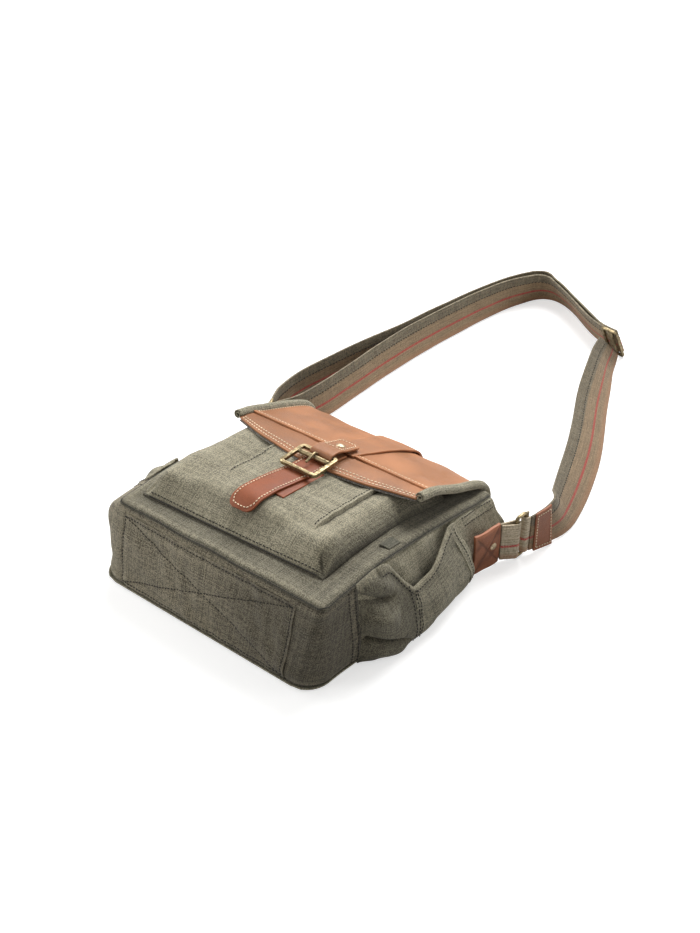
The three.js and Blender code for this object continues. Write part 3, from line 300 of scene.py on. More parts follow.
def travelled(path):
    """The length gone at each point of a path."""
    return np.concatenate([[0], np.cumsum(np.linalg.norm(np.diff(path, axis=0), axis=1))])


def curve(path, measured=slice(None)):
    """A smooth line through a path's rows: its length over the measured columns, and a function that gives
    all columns a length along it."""
    path = np.array(path, float)
    gone = travelled(path[:, measured])
    return gone[-1], lambda at: [smooth(np.column_stack([gone, column]), at) for column in path.T]


def mix(a, b, share):
    return a + (b - a) * share


def ease(share):
    s = np.clip(share, 0, 1)
    return s * s * (3 - 2 * s)


def bell(distance, width):
    return np.exp(-(distance / width) ** 2)


def from_ends(share):
    """Distance of a share from the nearer of its ends, 0 and 1."""
    return 0.5 - np.abs(share - 0.5)


def rounding(radius, distance):
    """How far an outline draws in at a distance from its end, round a corner of a radius."""
    short = np.clip(radius - distance, 0, radius)
    return radius - np.sqrt(radius ** 2 - short ** 2)


def towards(side, share):
    """Turns a share round on the left side, so that it runs the same way along the bag on both sides."""
    return share if side > 0 else 1 - share


def points(x, y, z):
    return np.stack(np.broadcast_arrays(x, y, z), -1).astype(float)


def unit(vectors):
    return vectors / np.maximum(np.linalg.norm(vectors, axis=-1, keepdims=True), 1e-12)


def ripple(u, v, size, seed):
    """Soft unevenness of cloth: a few waves of about the given size, mostly between -1 and 1."""
    chance = np.random.default_rng(seed)
    total = np.zeros(np.broadcast(u, v).shape)
    for _ in range(7):
        heading, phase = chance.uniform(0, 2 * math.pi, 2)
        wave = size * chance.uniform(0.6, 1.6)
        total += np.sin((u * math.cos(heading) + v * math.sin(heading)) * 2 * math.pi / wave + phase)
    return total / 3


def fold(u, v, line, width, rise):
    """A fold along a bent line of (u, v) places, full at its middle and fading to its ends and sides."""
    line = np.array(line, float)
    gone = travelled(line)
    nearest, place = np.full(np.shape(u), 1e9), np.zeros(np.shape(u))
    for (start, end), (low, high) in zip(zip(line, line[1:]), zip(gone, gone[1:])):
        way = end - start
        share = np.clip(((u - start[0]) * way[0] + (v - start[1]) * way[1]) / (way @ way), 0, 1)
        far = np.hypot(u - start[0] - way[0] * share, v - start[1] - way[1] * share)
        place = np.where(far < nearest, mix(low, high, share), place)
        nearest = np.minimum(far, nearest)
    return rise * bell(nearest, width) * np.sqrt(np.sin(math.pi * np.clip(place / gone[-1], 0.02, 0.98)))


def folds(u, v, rows):
    return sum(fold(u, v, *row) for row in rows)


def seam_dip(distance, depth, width):
    """Cloth drawn down into a seam."""
    return -depth * bell(distance, width)


class Wall:
    """A curved wall of cloth or leather. place(a, b) is its middle, with a and b running from 0 to 1, and
    relief(a, b) how far its face rises there."""

    def __init__(self, place, relief=None, thickness=None):
        self.place = place
        self.relief = relief or (lambda a, b: np.zeros(np.shape(a)))
        self.thickness = thickness or size("canvas")

    def normal(self, a, b):
        nudge = 1e-4
        across = self.place(a + nudge, b) - self.place(a - nudge, b)
        along = self.place(a, b + nudge) - self.place(a, b - nudge)
        return unit(np.cross(across, along))

    def at(self, a, b, lift=0.0):
        return self.place(a, b) + self.normal(a, b) * (self.relief(a, b) + lift)[..., None]

    def turned_over(self):
        return Wall(lambda a, b: self.place(1 - a, b), lambda a, b: -self.relief(1 - a, b), self.thickness)


def to_row(places):
    return (places - [0, REST_MIDDLE_Y, 0]) * MM


def begin(name):
    """Names the object that an add operator has just made."""
    piece = bpy.context.object
    piece.name = piece.data.name = name
    return piece


def deselect():
    bpy.ops.object.select_all(action="DESELECT")


def select_only(piece):
    deselect()
    bpy.context.view_layer.objects.active = piece
    piece.select_set(True)


def apply_modifier(piece, kind, **settings):
    select_only(piece)
    bpy.ops.object.modifier_add(type=kind)
    made = piece.modifiers[-1]
    for key, value in settings.items():
        setattr(made, key, value)
    bpy.ops.object.modifier_apply(modifier=made.name)


def edit(piece, operator, **settings):
    """Runs an edit mode operator on the whole mesh."""
    select_only(piece)
    bpy.ops.object.mode_set(mode="EDIT")
    bpy.ops.mesh.select_all(action="SELECT")
    operator(**settings)
    bpy.ops.object.mode_set(mode="OBJECT")


def lay_flat(mesh, a, b, drawn, columns, rows):
    """Maps a wall's grid as the cloth was cut, in metres along its rows and its columns."""
    across, along = np.round(a * columns).astype(int), np.round(b * rows).astype(int)
    laid = np.empty((rows + 1, columns + 1, 3))
    laid[along, across] = drawn
    wide = np.pad(np.cumsum(np.linalg.norm(np.diff(laid, axis=1), axis=-1), 1), ((0, 0), (1, 0)))
    long = np.pad(np.cumsum(np.linalg.norm(np.diff(laid, axis=0), axis=-1), 0), ((1, 0), (0, 0)))
    wide -= wide[:, columns // 2, None]
    cut = np.stack([wide[along, across], long[along, across]], -1) * MM
    corner = np.empty(len(mesh.loops), int)
    mesh.loops.foreach_get("vertex_index", corner)
    mesh.uv_layers[0].data.foreach_set("uv", cut[corner].ravel())


def wall_piece(name, wall, columns, rows, wear=None, rim=0.35, back_slot=0, rim_slot=0):
    """Makes a wall as a mesh: a grid drawn to its shape, given its thickness and softened at its edges."""
    deselect()
    bpy.ops.mesh.primitive_grid_add(x_subdivisions=columns, y_subdivisions=rows, size=2)
    piece = begin(name)
    mesh = piece.data
    grid = np.empty(len(mesh.vertices) * 3)
    mesh.vertices.foreach_get("co", grid)
    a, b = (grid.reshape(-1, 3)[:, :2].T + 1) / 2
    drawn = wall.at(a, b)
    mesh.vertices.foreach_set("co", to_row(drawn).ravel())
    lay_flat(mesh, a, b, drawn, columns, rows)
    # Each vertex keeps one value: above 0 it pales the surface by rubbing and painted highlight, below 0 it
    # darkens it by soiling and painted shade.
    marked = mesh.attributes.new("wear", "FLOAT", "POINT")
    marked.data.foreach_set("value", np.broadcast_to(wear(a, b) if wear else 0.0, a.shape).astype(np.float32))
    mesh.update()
    apply_modifier(piece, "SOLIDIFY", thickness=wall.thickness * MM, offset=0, use_even_offset=False,
                   material_offset=back_slot, material_offset_rim=rim_slot)
    apply_modifier(piece, "BEVEL", width=rim * MM, segments=2, limit_method="ANGLE",
                   angle_limit=math.radians(60))
    bpy.ops.object.shade_smooth()
    return piece


def settle(piece, finishes, slot, *nodes):
    """Gives a finished piece its materials, and its place on the frame."""
    for name in finishes:
        piece.data.materials.append(finish(name))
    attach(piece, "root")
    if nodes:
        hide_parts(*nodes)
    return piece


def declare_cloth(wall, held, rests_on):
    """Works out a wall's longest width and length and its area, as a sheet of cloth."""
    a, b = np.meshgrid(np.linspace(0, 1, 81), np.linspace(0, 1, 81))
    laid = wall.place(a, b) * MM
    across, along = np.diff(laid, axis=1), np.diff(laid, axis=0)
    wide = float(np.linalg.norm(across, axis=-1).sum(1).max())
    long = float(np.linalg.norm(along, axis=-1).sum(0).max())
    area = float(np.linalg.norm(np.cross(across[:-1], along[:, :-1]), axis=-1).sum())


def cloth_piece(node, wall, grid, held, rests_on, wear=None, finishes=("Canvas",), slot="canvas", **edges):
    """Makes a wall of cloth in the place of a node, on a grid of columns and rows."""
    kind = "webbing" if slot == "webbing" else "cloth"
    piece = settle(wall_piece(f"{node}_{kind}", wall, *grid, wear, **edges), finishes, slot, node)
    declare_cloth(wall, held, rests_on)


def leather_piece(node, wall, grid, wear, hide, slot, rim=0.5):
    """Makes a wall of leather in the place of a node, with cut edges."""
    piece = wall_piece(f"{node}_hide", wall, *grid, wear, rim, rim_slot=1)
    settle(piece, [hide, "Leather cut edge"], slot, node)


class Sewing:
    """Stitches of one thread, gathered into one piece. Each is a copy of one small bead."""

    def __init__(self, name, thread, slot):
        self.name, self.thread, self.slot = name, thread, slot
        self.places, self.ahead, self.up = [], [], []

    def row(self, wall, path, lift=0.25, pitch=None):
        """A row of stitches on a wall, along a path of (a, b) places."""
        path = np.array(path, float)
        gone = travelled(wall.place(*path.T))
        fine = np.linspace(0, gone[-1], 600)
        a, b = np.interp(fine, gone, path[:, 0]), np.interp(fine, gone, path[:, 1])
        line, normals = wall.at(a, b, wall.thickness / 2 + lift), wall.normal(a, b)
        run = travelled(line)
        count = max(int(run[-1] / (pitch or size("stitch_pitch"))), 1)
        middles = (np.arange(count) + 0.5) * run[-1] / count
        spread = lambda values, at: np.stack([np.interp(at, run, column) for column in values.T], -1)
        self.places.append(spread(line, middles))
        self.ahead.append(unit(spread(line, middles + 0.4) - spread(line, middles - 0.4)))
        self.up.append(spread(normals, middles))

    def sew(self, long=2.5):
        deselect()
        bpy.ops.mesh.primitive_uv_sphere_add(segments=6, ring_count=4, radius=1)
        bead = bpy.context.object
        x, y, z = np.array([v.co for v in bead.data.vertices]).T[:, None, :, None]
        faces = [list(f.vertices) for f in bead.data.polygons]
        bpy.ops.object.delete()
        places, ahead, up = (np.concatenate(part)[:, None] for part in (self.places, self.ahead, self.up))
        width = size("stitch_width") / 2
        spots = places + ahead * (z * long / 2) + np.cross(up, ahead) * (x * width) + up * (y * width * 0.7)
        count = spots.shape[1]
        mesh = bpy.data.meshes.new(self.name)
        joined = [[i + n * count for i in face] for n in range(len(spots)) for face in faces]
        mesh.from_pydata(to_row(spots.reshape(-1, 3)), [], joined)
        piece = bpy.data.objects.new(self.name, mesh)
        bpy.context.collection.objects.link(piece)
        edit(piece, bpy.ops.mesh.normals_make_consistent, inside=False)
        edit(piece, bpy.ops.mesh.faces_shade_smooth)
        settle(piece, [self.thread], self.slot)


# Node groups

class Nodes:
    """Short ways to add nodes to one tree."""

    def __init__(self, tree):
        self.tree = tree

    def feed(self, socket, value):
        """Links an input to another node's output, or sets its value."""
        if isinstance(value, bpy.types.NodeSocket):
            self.tree.links.new(value, socket)
        else:
            socket.default_value = value

    def add(self, kind, inputs=(), **settings):
        made = self.tree.nodes.new(kind)
        for key, value in settings.items():
            setattr(made, key, value)
        for key, value in dict(inputs).items():
            self.feed(made.inputs[key], value)
        return made

    def group(self, name, **inputs):
        """Places a shared node group, which is made where it is first needed."""
        if name not in bpy.data.node_groups:
            GROUPS[name](name)
        return self.add("ShaderNodeGroup", inputs, node_tree=bpy.data.node_groups[name]).outputs

    def math(self, operation, first, second=0.0):
        return self.add("ShaderNodeMath", {0: first, 1: second}, operation=operation).outputs[0]

    def times(self, first, second):
        return self.math("MULTIPLY", first, second)

    def plus(self, first, second):
        return self.math("ADD", first, second)

    def wave(self, value):
        """Rounded humps, one for each unit."""
        return self.math("ABSOLUTE", self.math("SINE", self.times(value, math.pi)))

    def noise(self, vector, scale, detail=2.0, roughness=0.5):
        inputs = {"Vector": vector, "Scale": scale, "Detail": detail, "Roughness": roughness}
        return self.add("ShaderNodeTexNoise", inputs).outputs["Fac"]

    def chance(self, **at):
        """A random value for each place, by W alone or by Vector."""
        dimensions = "1D" if "W" in at else "2D"
        return self.add("ShaderNodeTexWhiteNoise", at, noise_dimensions=dimensions).outputs["Value"]

    def stretch(self, vector, scale):
        return self.add("ShaderNodeVectorMath", {0: vector, 1: scale}, operation="MULTIPLY").outputs[0]

    def between(self, value, low, high, out_low=0.0, out_high=1.0):
        inputs = {"Value": value, "From Min": low, "From Max": high, "To Min": out_low, "To Max": out_high}
        return self.add("ShaderNodeMapRange", inputs, interpolation_type="SMOOTHSTEP").outputs["Result"]

    def either(self, share, first, second):
        return self.add("ShaderNodeMix", {0: share, 2: first, 3: second}, data_type="FLOAT").outputs[0]

    def blend(self, share, first, second, how="MIX"):
        inputs = {0: share, 6: first, 7: second}
        return self.add("ShaderNodeMix", inputs, data_type="RGBA", blend_type=how).outputs[2]


def new_group(name, inputs, outputs):
    """A node group with named sockets. An input with no default is a vector, and the rest are numbers."""
    tree = bpy.data.node_groups.new(name, "ShaderNodeTree")
    for label, default in inputs.items():
        kind = "NodeSocketVector" if default is None else "NodeSocketFloat"
        made = tree.interface.new_socket(label, in_out="INPUT", socket_type=kind)
        if default is not None:
            made.default_value = default
    for label in outputs:
        tree.interface.new_socket(label, in_out="OUTPUT", socket_type="NodeSocketFloat")
    nodes = Nodes(tree)
    return nodes, nodes.add("NodeGroupInput").outputs, nodes.add("NodeGroupOutput").inputs


def plain_weave(name):
    """Plain weave: threads passing over and under each other, of uneven tone."""
    n, given, out = new_group(name, {"Vector": None, "Threads": 900.0}, ["Height", "Tone"])
    place = given["Vector"]
    wobble = n.add("ShaderNodeTexNoise", {"Vector": place, "Scale": 160.0, "Detail": 1.0}).outputs["Color"]
    shift = {0: wobble, 1: (0.0006, 0.0006, 0), 2: place}
    shifted = n.add("ShaderNodeVectorMath", shift, operation="MULTIPLY_ADD").outputs[0]
    scaled = {0: shifted, "Scale": given["Threads"]}
    counted = n.add("ShaderNodeVectorMath", scaled, operation="SCALE").outputs[0]
    u, v, _ = n.add("ShaderNodeSeparateXYZ", {0: counted}).outputs
    warp, weft = n.math("FLOOR", u), n.math("FLOOR", v)
    over = n.times(n.math("FRACT", n.times(n.plus(warp, weft), 0.5)), 2.0)
    round_u, round_v = n.wave(u), n.wave(v)
    warp_top = n.times(round_u, n.math("POWER", round_v, 0.5))
    weft_top = n.times(round_v, n.math("POWER", round_u, 0.5))
    speck = n.chance(Vector=n.add("ShaderNodeCombineXYZ", {0: warp, 1: weft}).outputs[0])
    yarn = n.either(over, n.chance(W=weft), n.chance(W=warp))
    slub_u = n.noise(n.stretch(place, (1800.0, 260.0, 1.0)), 1.0)
    slub_v = n.noise(n.stretch(place, (260.0, 1800.0, 1.0)), 1.0)
    uneven = n.plus(n.times(yarn, 0.25), n.times(n.either(over, slub_v, slub_u), 0.5))
    n.feed(out["Height"], n.either(over, weft_top, warp_top))
    n.feed(out["Tone"], n.plus(n.times(speck, 0.25), uneven))


def fading(name):
    """Uneven fading of washed cloth and leather: broad patches and small flecks."""
    n, given, out = new_group(name, {"Vector": None, "Scale": 14.0}, ["Patches", "Flecks"])
    broad = n.noise(given["Vector"], given["Scale"], 4.0, 0.6)
    fine = n.noise(given["Vector"], n.times(given["Scale"], 30.0), 3.0, 0.65)
    n.feed(out["Patches"], n.between(broad, 0.32, 0.7))
    n.feed(out["Flecks"], n.between(fine, 0.4, 0.66))


def scuffs_and_painted_light(name):
    """Where a surface is made pale by rubbing and by painted highlight, and where it is made dark by soiling
    and by painted shade, from one value that runs from -1 to 1.
    """
    n, given, out = new_group(name, {"Wear": 0.0}, ["Worn", "Soiled"])
    n.feed(out["Worn"], n.between(given["Wear"], 0.0, 1.0))
    n.feed(out["Soiled"], n.between(given["Wear"], -1.0, 0.0, 1.0, 0.0))


def leather_grain(name):
    """Leather grain: small pebbles with creases between them, over a soft unevenness."""
    n, given, out = new_group(name, {"Vector": None, "Scale": 900.0}, ["Height", "Creases"])
    place = {"Vector": given["Vector"], "Scale": given["Scale"]}
    pebbles = n.add("ShaderNodeTexVoronoi", place, feature="DISTANCE_TO_EDGE").outputs["Distance"]
    uneven = n.noise(given["Vector"], n.times(given["Scale"], 0.12), 3.0)
    n.feed(out["Height"], n.plus(n.between(pebbles, 0.0, 0.16, 0.0, 0.5), n.times(uneven, 0.8)))
    n.feed(out["Creases"], n.between(pebbles, 0.0, 0.1, 1.0, 0.0))


def brass_patina(name):
    """Dark patina of antique brass, rubbed off in places, with fine scratches."""
    n, given, out = new_group(name, {"Vector": None}, ["Patina", "Scratches"])
    cloud = n.noise(given["Vector"], 260.0, 5.0, 0.6)
    scratch = n.noise(n.stretch(given["Vector"], (3000.0, 220.0, 900.0)), 1.0)
    n.feed(out["Patina"], n.between(cloud, 0.42, 0.62))
    n.feed(out["Scratches"], n.between(scratch, 0.5, 0.72))


GROUPS = {
    "Plain weave": plain_weave, "Fading": fading, "Rubbing": scuffs_and_painted_light, "Leather grain": leather_grain,
    "Brass patina": brass_patina,
}


# Materials

def shade(value, amount=1.0):
    return tuple(min(part * amount, 1) for part in value) + (1.0,)


class Finish(Nodes):
    """A new material's nodes and its shader."""

    def __init__(self, name):
        self.material = bpy.data.materials.new(name)
        self.material.use_nodes = True
        super().__init__(self.material.node_tree)
        self.shader = self.tree.nodes["Principled BSDF"].inputs

    @functools.cached_property
    def place(self):
        """Coordinates over the surface."""
        return self.add("ShaderNodeTexCoord").outputs

    def rub(self, tone, pale, dark, how="MIX"):
        """Pales a tone where it is rubbed and where a highlight is painted, and darkens it where it is soiled
        and where shade is painted, from the piece's per-vertex value. Both are given as (greatest share,
        colour).
        """
        wear = self.add("ShaderNodeAttribute", attribute_name="wear").outputs["Fac"]
        marks = self.group("Rubbing", Wear=wear)
        marked = self.blend(self.times(marks["Worn"], pale[0]), tone, pale[1])
        return self.blend(self.times(marks["Soiled"], dark[0]), marked, dark[1], how)

    def connect(self, tone, roughness, height, strength, distance, **plain):
        """Joins colour, roughness and bump to the shader, and sets the values that are the same all over."""
        bump = self.add("ShaderNodeBump", {"Height": height, "Strength": strength, "Distance": distance * MM})
        looks = {"Base Color": tone, "Roughness": roughness, "Normal": bump.outputs[0]}
        plain = {label.replace("_", " "): value for label, value in plain.items()}
        for label, value in {**looks, **plain}.items():
            self.feed(self.shader[label], value)
        return self.material


def cloth(name, base, threads=1150.0, contrast=1.0):
    """Washed canvas: woven threads of mixed tone, paler where it is rubbed, with painted shade in its seams
    and over the parts that face away from the light.
    """
    n = Finish(name)
    weave = n.group("Plain weave", Vector=n.place["UV"], Threads=threads)
    fade = n.group("Fading", Vector=n.place["Object"], Scale=16.0)
    dark, pale = shade(base, 1 - 0.58 * contrast), shade(base, 1 + 0.75 * contrast)
    woven = n.blend(n.between(weave["Tone"], 0.28, 0.72), dark, pale)
    gaps = n.blend(n.between(weave["Height"], 0.0, 0.5), shade(base, 0.45), woven)
    dulled = n.blend(1.0, gaps, shade(WHITE, 0.72), "MULTIPLY")
    patches = n.blend(n.times(fade["Patches"], 0.3), gaps, dulled)
    flecks = n.blend(n.times(fade["Flecks"], 0.08), patches, shade(base, 1.8))
    # Painted shade darkens the canvas where the piece's value falls below 0, and rubbing pales it above 0.
    tone = n.rub(flecks, (0.5, shade(base, 1.75)), (0.75, shade(WHITE, 0.16)), "MULTIPLY")
    rough = n.between(fade["Flecks"], 0.0, 1.0, 0.86, 0.98)
    return n.connect(tone, rough, weave["Height"], 0.55, 0.5,
                     Sheen_Weight=0.12, Sheen_Roughness=0.5, Specular_IOR_Level=0.2)


def leather(name, base):
    """Waxed leather: fine grain, darker creases, pulled-up pale patches and rubbed edges."""
    n = Finish(name)
    grain = n.group("Leather grain", Vector=n.place["Object"], Scale=850.0)
    fade = n.group("Fading", Vector=n.place["Object"], Scale=20.0)
    patches = n.blend(fade["Patches"], shade(base, 0.76), shade(base, 1.25))
    flecks = n.blend(n.times(fade["Flecks"], 0.25), patches, shade(base, 1.45))
    creases = n.blend(n.times(grain["Creases"], 0.35), flecks, shade(base, 0.55))
    tone = n.rub(creases, (0.55, shade(base, 1.6)), (0.7, shade(base, 0.3)))
    rough = n.between(fade["Patches"], 0.0, 1.0, 0.42, 0.58)
    return n.connect(tone, rough, grain["Height"], 0.3, 0.4, Specular_IOR_Level=0.28)


def cut_edge(name, base):
    """Fibrous cut edge of the leather."""
    n = Finish(name)
    fade = n.group("Fading", Vector=n.place["Object"], Scale=60.0)
    fibres = n.noise(n.stretch(n.place["Object"], (700.0, 700.0, 2600.0)), 1.0, 3.0)
    patches = n.blend(fade["Patches"], shade(base, 0.75), shade(base, 1.25))
    tone = n.blend(n.times(fibres, 0.4), patches, shade(base, 1.5))
    return n.connect(tone, n.between(fibres, 0.2, 0.8, 0.7, 0.9), fibres, 0.4, 0.4)


def webbing(name, base, border):
    """Webbing with lengthwise ribs and a red line, sewn to a canvas band that shows over its border."""
    rib, line_middle, line_half, line_fade, blur = 0.0028, 0.0147, 0.0007, 0.0016, 0.0004
    n = Finish(name)
    flat = n.place["UV"]
    weave = n.group("Plain weave", Vector=n.stretch(flat, (0.75, 1.25, 1.0)), Threads=1000.0)
    fade = n.group("Fading", Vector=n.place["Object"], Scale=18.0)
    along, up, _ = n.add("ShaderNodeSeparateXYZ", {0: flat}).outputs
    ribs = n.wave(n.times(up, 1 / rib))
    streaks = n.noise(n.stretch(flat, (45.0, 900.0, 1.0)), 1.0)
    mixed = n.plus(n.times(weave["Tone"], 0.6), n.times(streaks, 0.4))
    woven = n.blend(n.between(mixed, 0.25, 0.75), shade(base, 0.5), shade(base, 1.55))
    ribbed = n.blend(n.between(ribs, 0.0, 0.5, 0.45, 0.0), woven, shade(base, 0.6))
    off_line = n.math("ABSOLUTE", n.math("SUBTRACT", up, line_middle))
    ticks = n.between(n.math("FRACT", n.times(n.plus(along, up), 420.0)), 0.1, 0.35, 0.45, 1.0)
    line = n.times(n.between(off_line, line_half, line_fade, 1.0, 0.0), ticks)
    lined = n.blend(line, ribbed, shade(colours().red_line))
    band = colours().base_canvas
    band_tone = n.blend(n.between(weave["Tone"], 0.2, 0.8), shade(band, 0.28), shade(band, 1.1))
    banded = n.blend(n.between(up, border - blur, border + blur), lined, band_tone)
    frayed = n.blend(n.between(up, 0.001, 0.009, 0.6, 0.0), banded, shade(colours().frayed_edge))
    flecked = n.blend(n.times(fade["Flecks"], 0.25), frayed, shade(base, 1.5))
    tone = n.rub(flecked, (0.5, shade(base, 1.75)), (0.75, shade(base, 0.16)))
    rough = n.between(fade["Flecks"], 0.0, 1.0, 0.85, 0.97)
    return n.connect(tone, rough, n.plus(weave["Height"], ribs), 0.5, 0.4,
                     Sheen_Weight=0.1, Specular_IOR_Level=0.2)


def thread(name, base):
    """Waxed sewing thread, twisted."""
    n = Finish(name)
    fade = n.group("Fading", Vector=n.place["Object"], Scale=40.0)
    twist = n.noise(n.stretch(n.place["Object"], (2400.0, 2400.0, 2400.0)), 1.0)
    patches = n.blend(fade["Patches"], shade(base, 0.8), shade(base, 1.15))
    tone = n.blend(n.times(twist, 0.3), patches, shade(base, 0.5))
    return n.connect(tone, n.between(twist, 0.0, 1.0, 0.6, 0.85), twist, 0.4, 0.3)


def metal(name, base):
    """Antique brass: satin, dark with patina and bright where it is rubbed."""
    n = Finish(name)
    patina = n.group("Brass patina", Vector=n.place["Object"])
    darkened = n.blend(n.times(patina["Patina"], 0.7), shade(base), shade(base, 0.3))
    tone = n.blend(n.times(patina["Scratches"], 0.3), darkened, shade(base, 1.5))
    rough = n.between(patina["Patina"], 0.0, 1.0, 0.38, 0.6)
    return n.connect(tone, rough, patina["Scratches"], 0.12, 0.2, Metallic=1.0)


def studio_paper(name, base):
    """Matt floor paper that shows a little brighter than it is lit."""
    n = Finish(name)
    seen = n.add("ShaderNodeLightPath").outputs["Is Camera Ray"]
    n.feed(n.shader["Emission Strength"], n.times(seen, 0.6))
    plain = {"Base Color": shade(base), "Roughness": 0.9, "Specular IOR Level": 0.1}
    for label, value in {**plain, "Emission Color": shade(WHITE)}.items():
        n.feed(n.shader[label], value)
    return n.material


# Each finish by its name: how it is made, its colour, and its other settings
FINISHES = {
    "Canvas": (cloth, "canvas", {}),
    "Base canvas": (cloth, "base_canvas", {"contrast": 1.2}),
    "Lining": (cloth, "lining", {"threads": 1300.0}),
    "Tag cloth": (cloth, "tag", {"threads": 1500.0}),
    "Flap leather": (leather, "leather", {}),
    "Strap leather": (leather, "strap_leather", {}),
    "Anchor leather": (leather, "anchor_leather", {}),
    "Leather cut edge": (cut_edge, "leather_edge", {}),
    "Strap webbing": (webbing, "webbing", {"border": STRAP_SEAM * MM}),
    "Loop webbing": (webbing, "loop_webbing", {"border": 0.06}),
    "Dark thread": (thread, "dark_thread", {}),
    "Cream thread": (thread, "cream_thread", {}),
    "Antique brass": (metal, "brass", {}),
    "Rubbed brass": (metal, "rivet", {}),
    "Studio floor": (studio_paper, "floor", {}),
}


def finish(name):
    """A material by its name, made where it is first needed."""
    if name in bpy.data.materials:
        return bpy.data.materials[name]
    make, tone, settings = FINISHES[name]
    return make(name, getattr(colours(), tone), **settings)


# Body walls

def front_z(y):
    return smooth(FRONT_RISE, y)


def lean(y, z):
    """How far the soft bag leans to the left near its base, most at the floor."""
    return -LEAN * (1 - z / front_z(y)) * (1 - ease(y / LEAN_FADE_Y))


def wall_half(t):
    return mix(BACK_HALF, FRONT_HALF, t) - 1


def wall_z(y, t):
    return mix(WALL_FOOT_Z, front_z(np.maximum(y, 0)) - WALL_EDGE_DROP, t)


def swollen(y, t):
    return smooth(SIDE_SWELL, y) * np.sin(math.pi * np.clip(t, 0, 1) ** 0.7)


def slouched(side, y, t):
    fade = 1 - ease((y - SLOUCH_FROM_Y) / (SLOUCH_TO_Y - SLOUCH_FROM_Y))
    return np.where(np.asarray(side) < 0, smooth(SLOUCH, t) * fade, 0)


def seam_wear_and_shade(distance):
    """A little pale beside a seam, where cloth rubs, and painted shade right in the seam's groove."""
    return 0.25 * bell(distance - 5, 2.5) - 1.3 * bell(distance, 1.5)


def back_wall():
    def place(a, b):
        y = mix(BACK_LOW, BACK_HIGH, np.clip(b, 0, 1))
        half = BACK_HALF - rounding(BACK_LOW_CORNER, y - BACK_LOW) - rounding(BACK_HIGH_CORNER, BACK_HIGH - y)
        x = (2 * a - 1) * half
        edge = np.minimum(half - np.abs(x), y - BACK_LOW)
        rise = BACK_RIM_RISE * np.clip(1 - edge / BACK_RIM, 0, 1) ** 2
        return points(x + lean(np.maximum(y, -4), np.zeros_like(y)), y, BACK_Z + rise)

    return Wall(place)


def front_flat(a, b):
    """Place on the front panel's cloth, and distance from its nearest seam."""
    x, y = (2 * a - 1) * FRONT_HALF, b * FRONT_TOP
    return x, y, np.minimum(FRONT_HALF - np.abs(x), y)


def front_wall():
    def place(a, b):
        y = b * FRONT_TOP
        return points((2 * a - 1) * (FRONT_HALF - rounding(FRONT_CORNER, y)), y, front_z(y) - FRONT_SINK)

    def relief(a, b):
        x, y, edge = front_flat(a, b)
        return seam_dip(edge, 2.2, 1.9) + 0.9 * bell(edge - 6, 5) + 0.5 * ripple(x, y, 45, 3)

    return Wall(place, relief)


def front_wear_and_shade(a, b):
    # Pale beside the seams, with painted shade in them, and 0.64 of painted shade over the whole panel for
    # the front pocket's shadow on the strip that shows in front of it and beside it.
    return seam_wear_and_shade(front_flat(a, b)[2]) - 0.64


def base_place(a, t, offset=0.0):
    """The base strip: a runs along it from left to right, and t from the back panel to the front."""
    stretch = np.interp(a, STRETCH_SHARES, range(6))
    part = np.minimum(np.floor(stretch), 4)
    share = stretch - part
    half, low, corner = wall_half(t), mix(*BASE_LOW, t), mix(*BASE_CORNER, t)
    side = np.where(part <= 1, -1, 1)
    turn = np.where(part == 1, 1 - share, share) * (math.pi / 2)
    bulge = slouched(side, low, t) * np.sin(turn) * (part == 1)
    swell = swollen(low, t) + offset
    base, straight = part == 2, (part == 0) | (part == 4)
    side_y = mix(BASE_END_Y, low + corner, np.where(part == 0, share, 1 - share))
    side_x = side * (half + swollen(side_y, t) + slouched(side, side_y, t) + offset)
    corner_x = side * (half - corner + (corner + swell + bulge) * np.sin(turn))
    corner_y = low + corner - (corner + swell) * np.cos(turn)
    x = np.where(straight, side_x, np.where(base, mix(corner - half, half - corner, share), corner_x))
    y = np.where(straight, side_y, np.where(base, low - swell, corner_y))
    z = wall_z(y, t)
    return points(x + lean(y, z), y, z)


def base_flat(a, b):
    return a * BASE_LENGTH, b * WALL_HEIGHT


def base_relief(a, b):
    u, v = base_flat(a, b)
    hollow = 1.5 * ripple(u, v, 85, 11) + 0.5 * ripple(u, v, 28, 12)
    seams = seam_dip(WALL_HEIGHT - v, 2.4, 2.6) + seam_dip(v, 2.0, 2.6)
    sides = 1.5 * bell(np.minimum(u, BASE_LENGTH - u), 5)
    return hollow * ease(np.minimum(v, WALL_HEIGHT - v) / 14) + folds(u, v, BASE_FOLDS) + seams + sides


def base_wear_and_shade(a, b):
    u, v = base_flat(a, b)
    # Painted shade: darker towards the right end and corner, which face down and away from the light; pale
    # beside the seams, with painted shade in them.
    shaded = -0.72 * ease((u - 130) / 130)
    return shaded + seam_wear_and_shade(np.minimum(np.minimum(WALL_HEIGHT - v, v), np.minimum(u, BASE_LENGTH - u)))


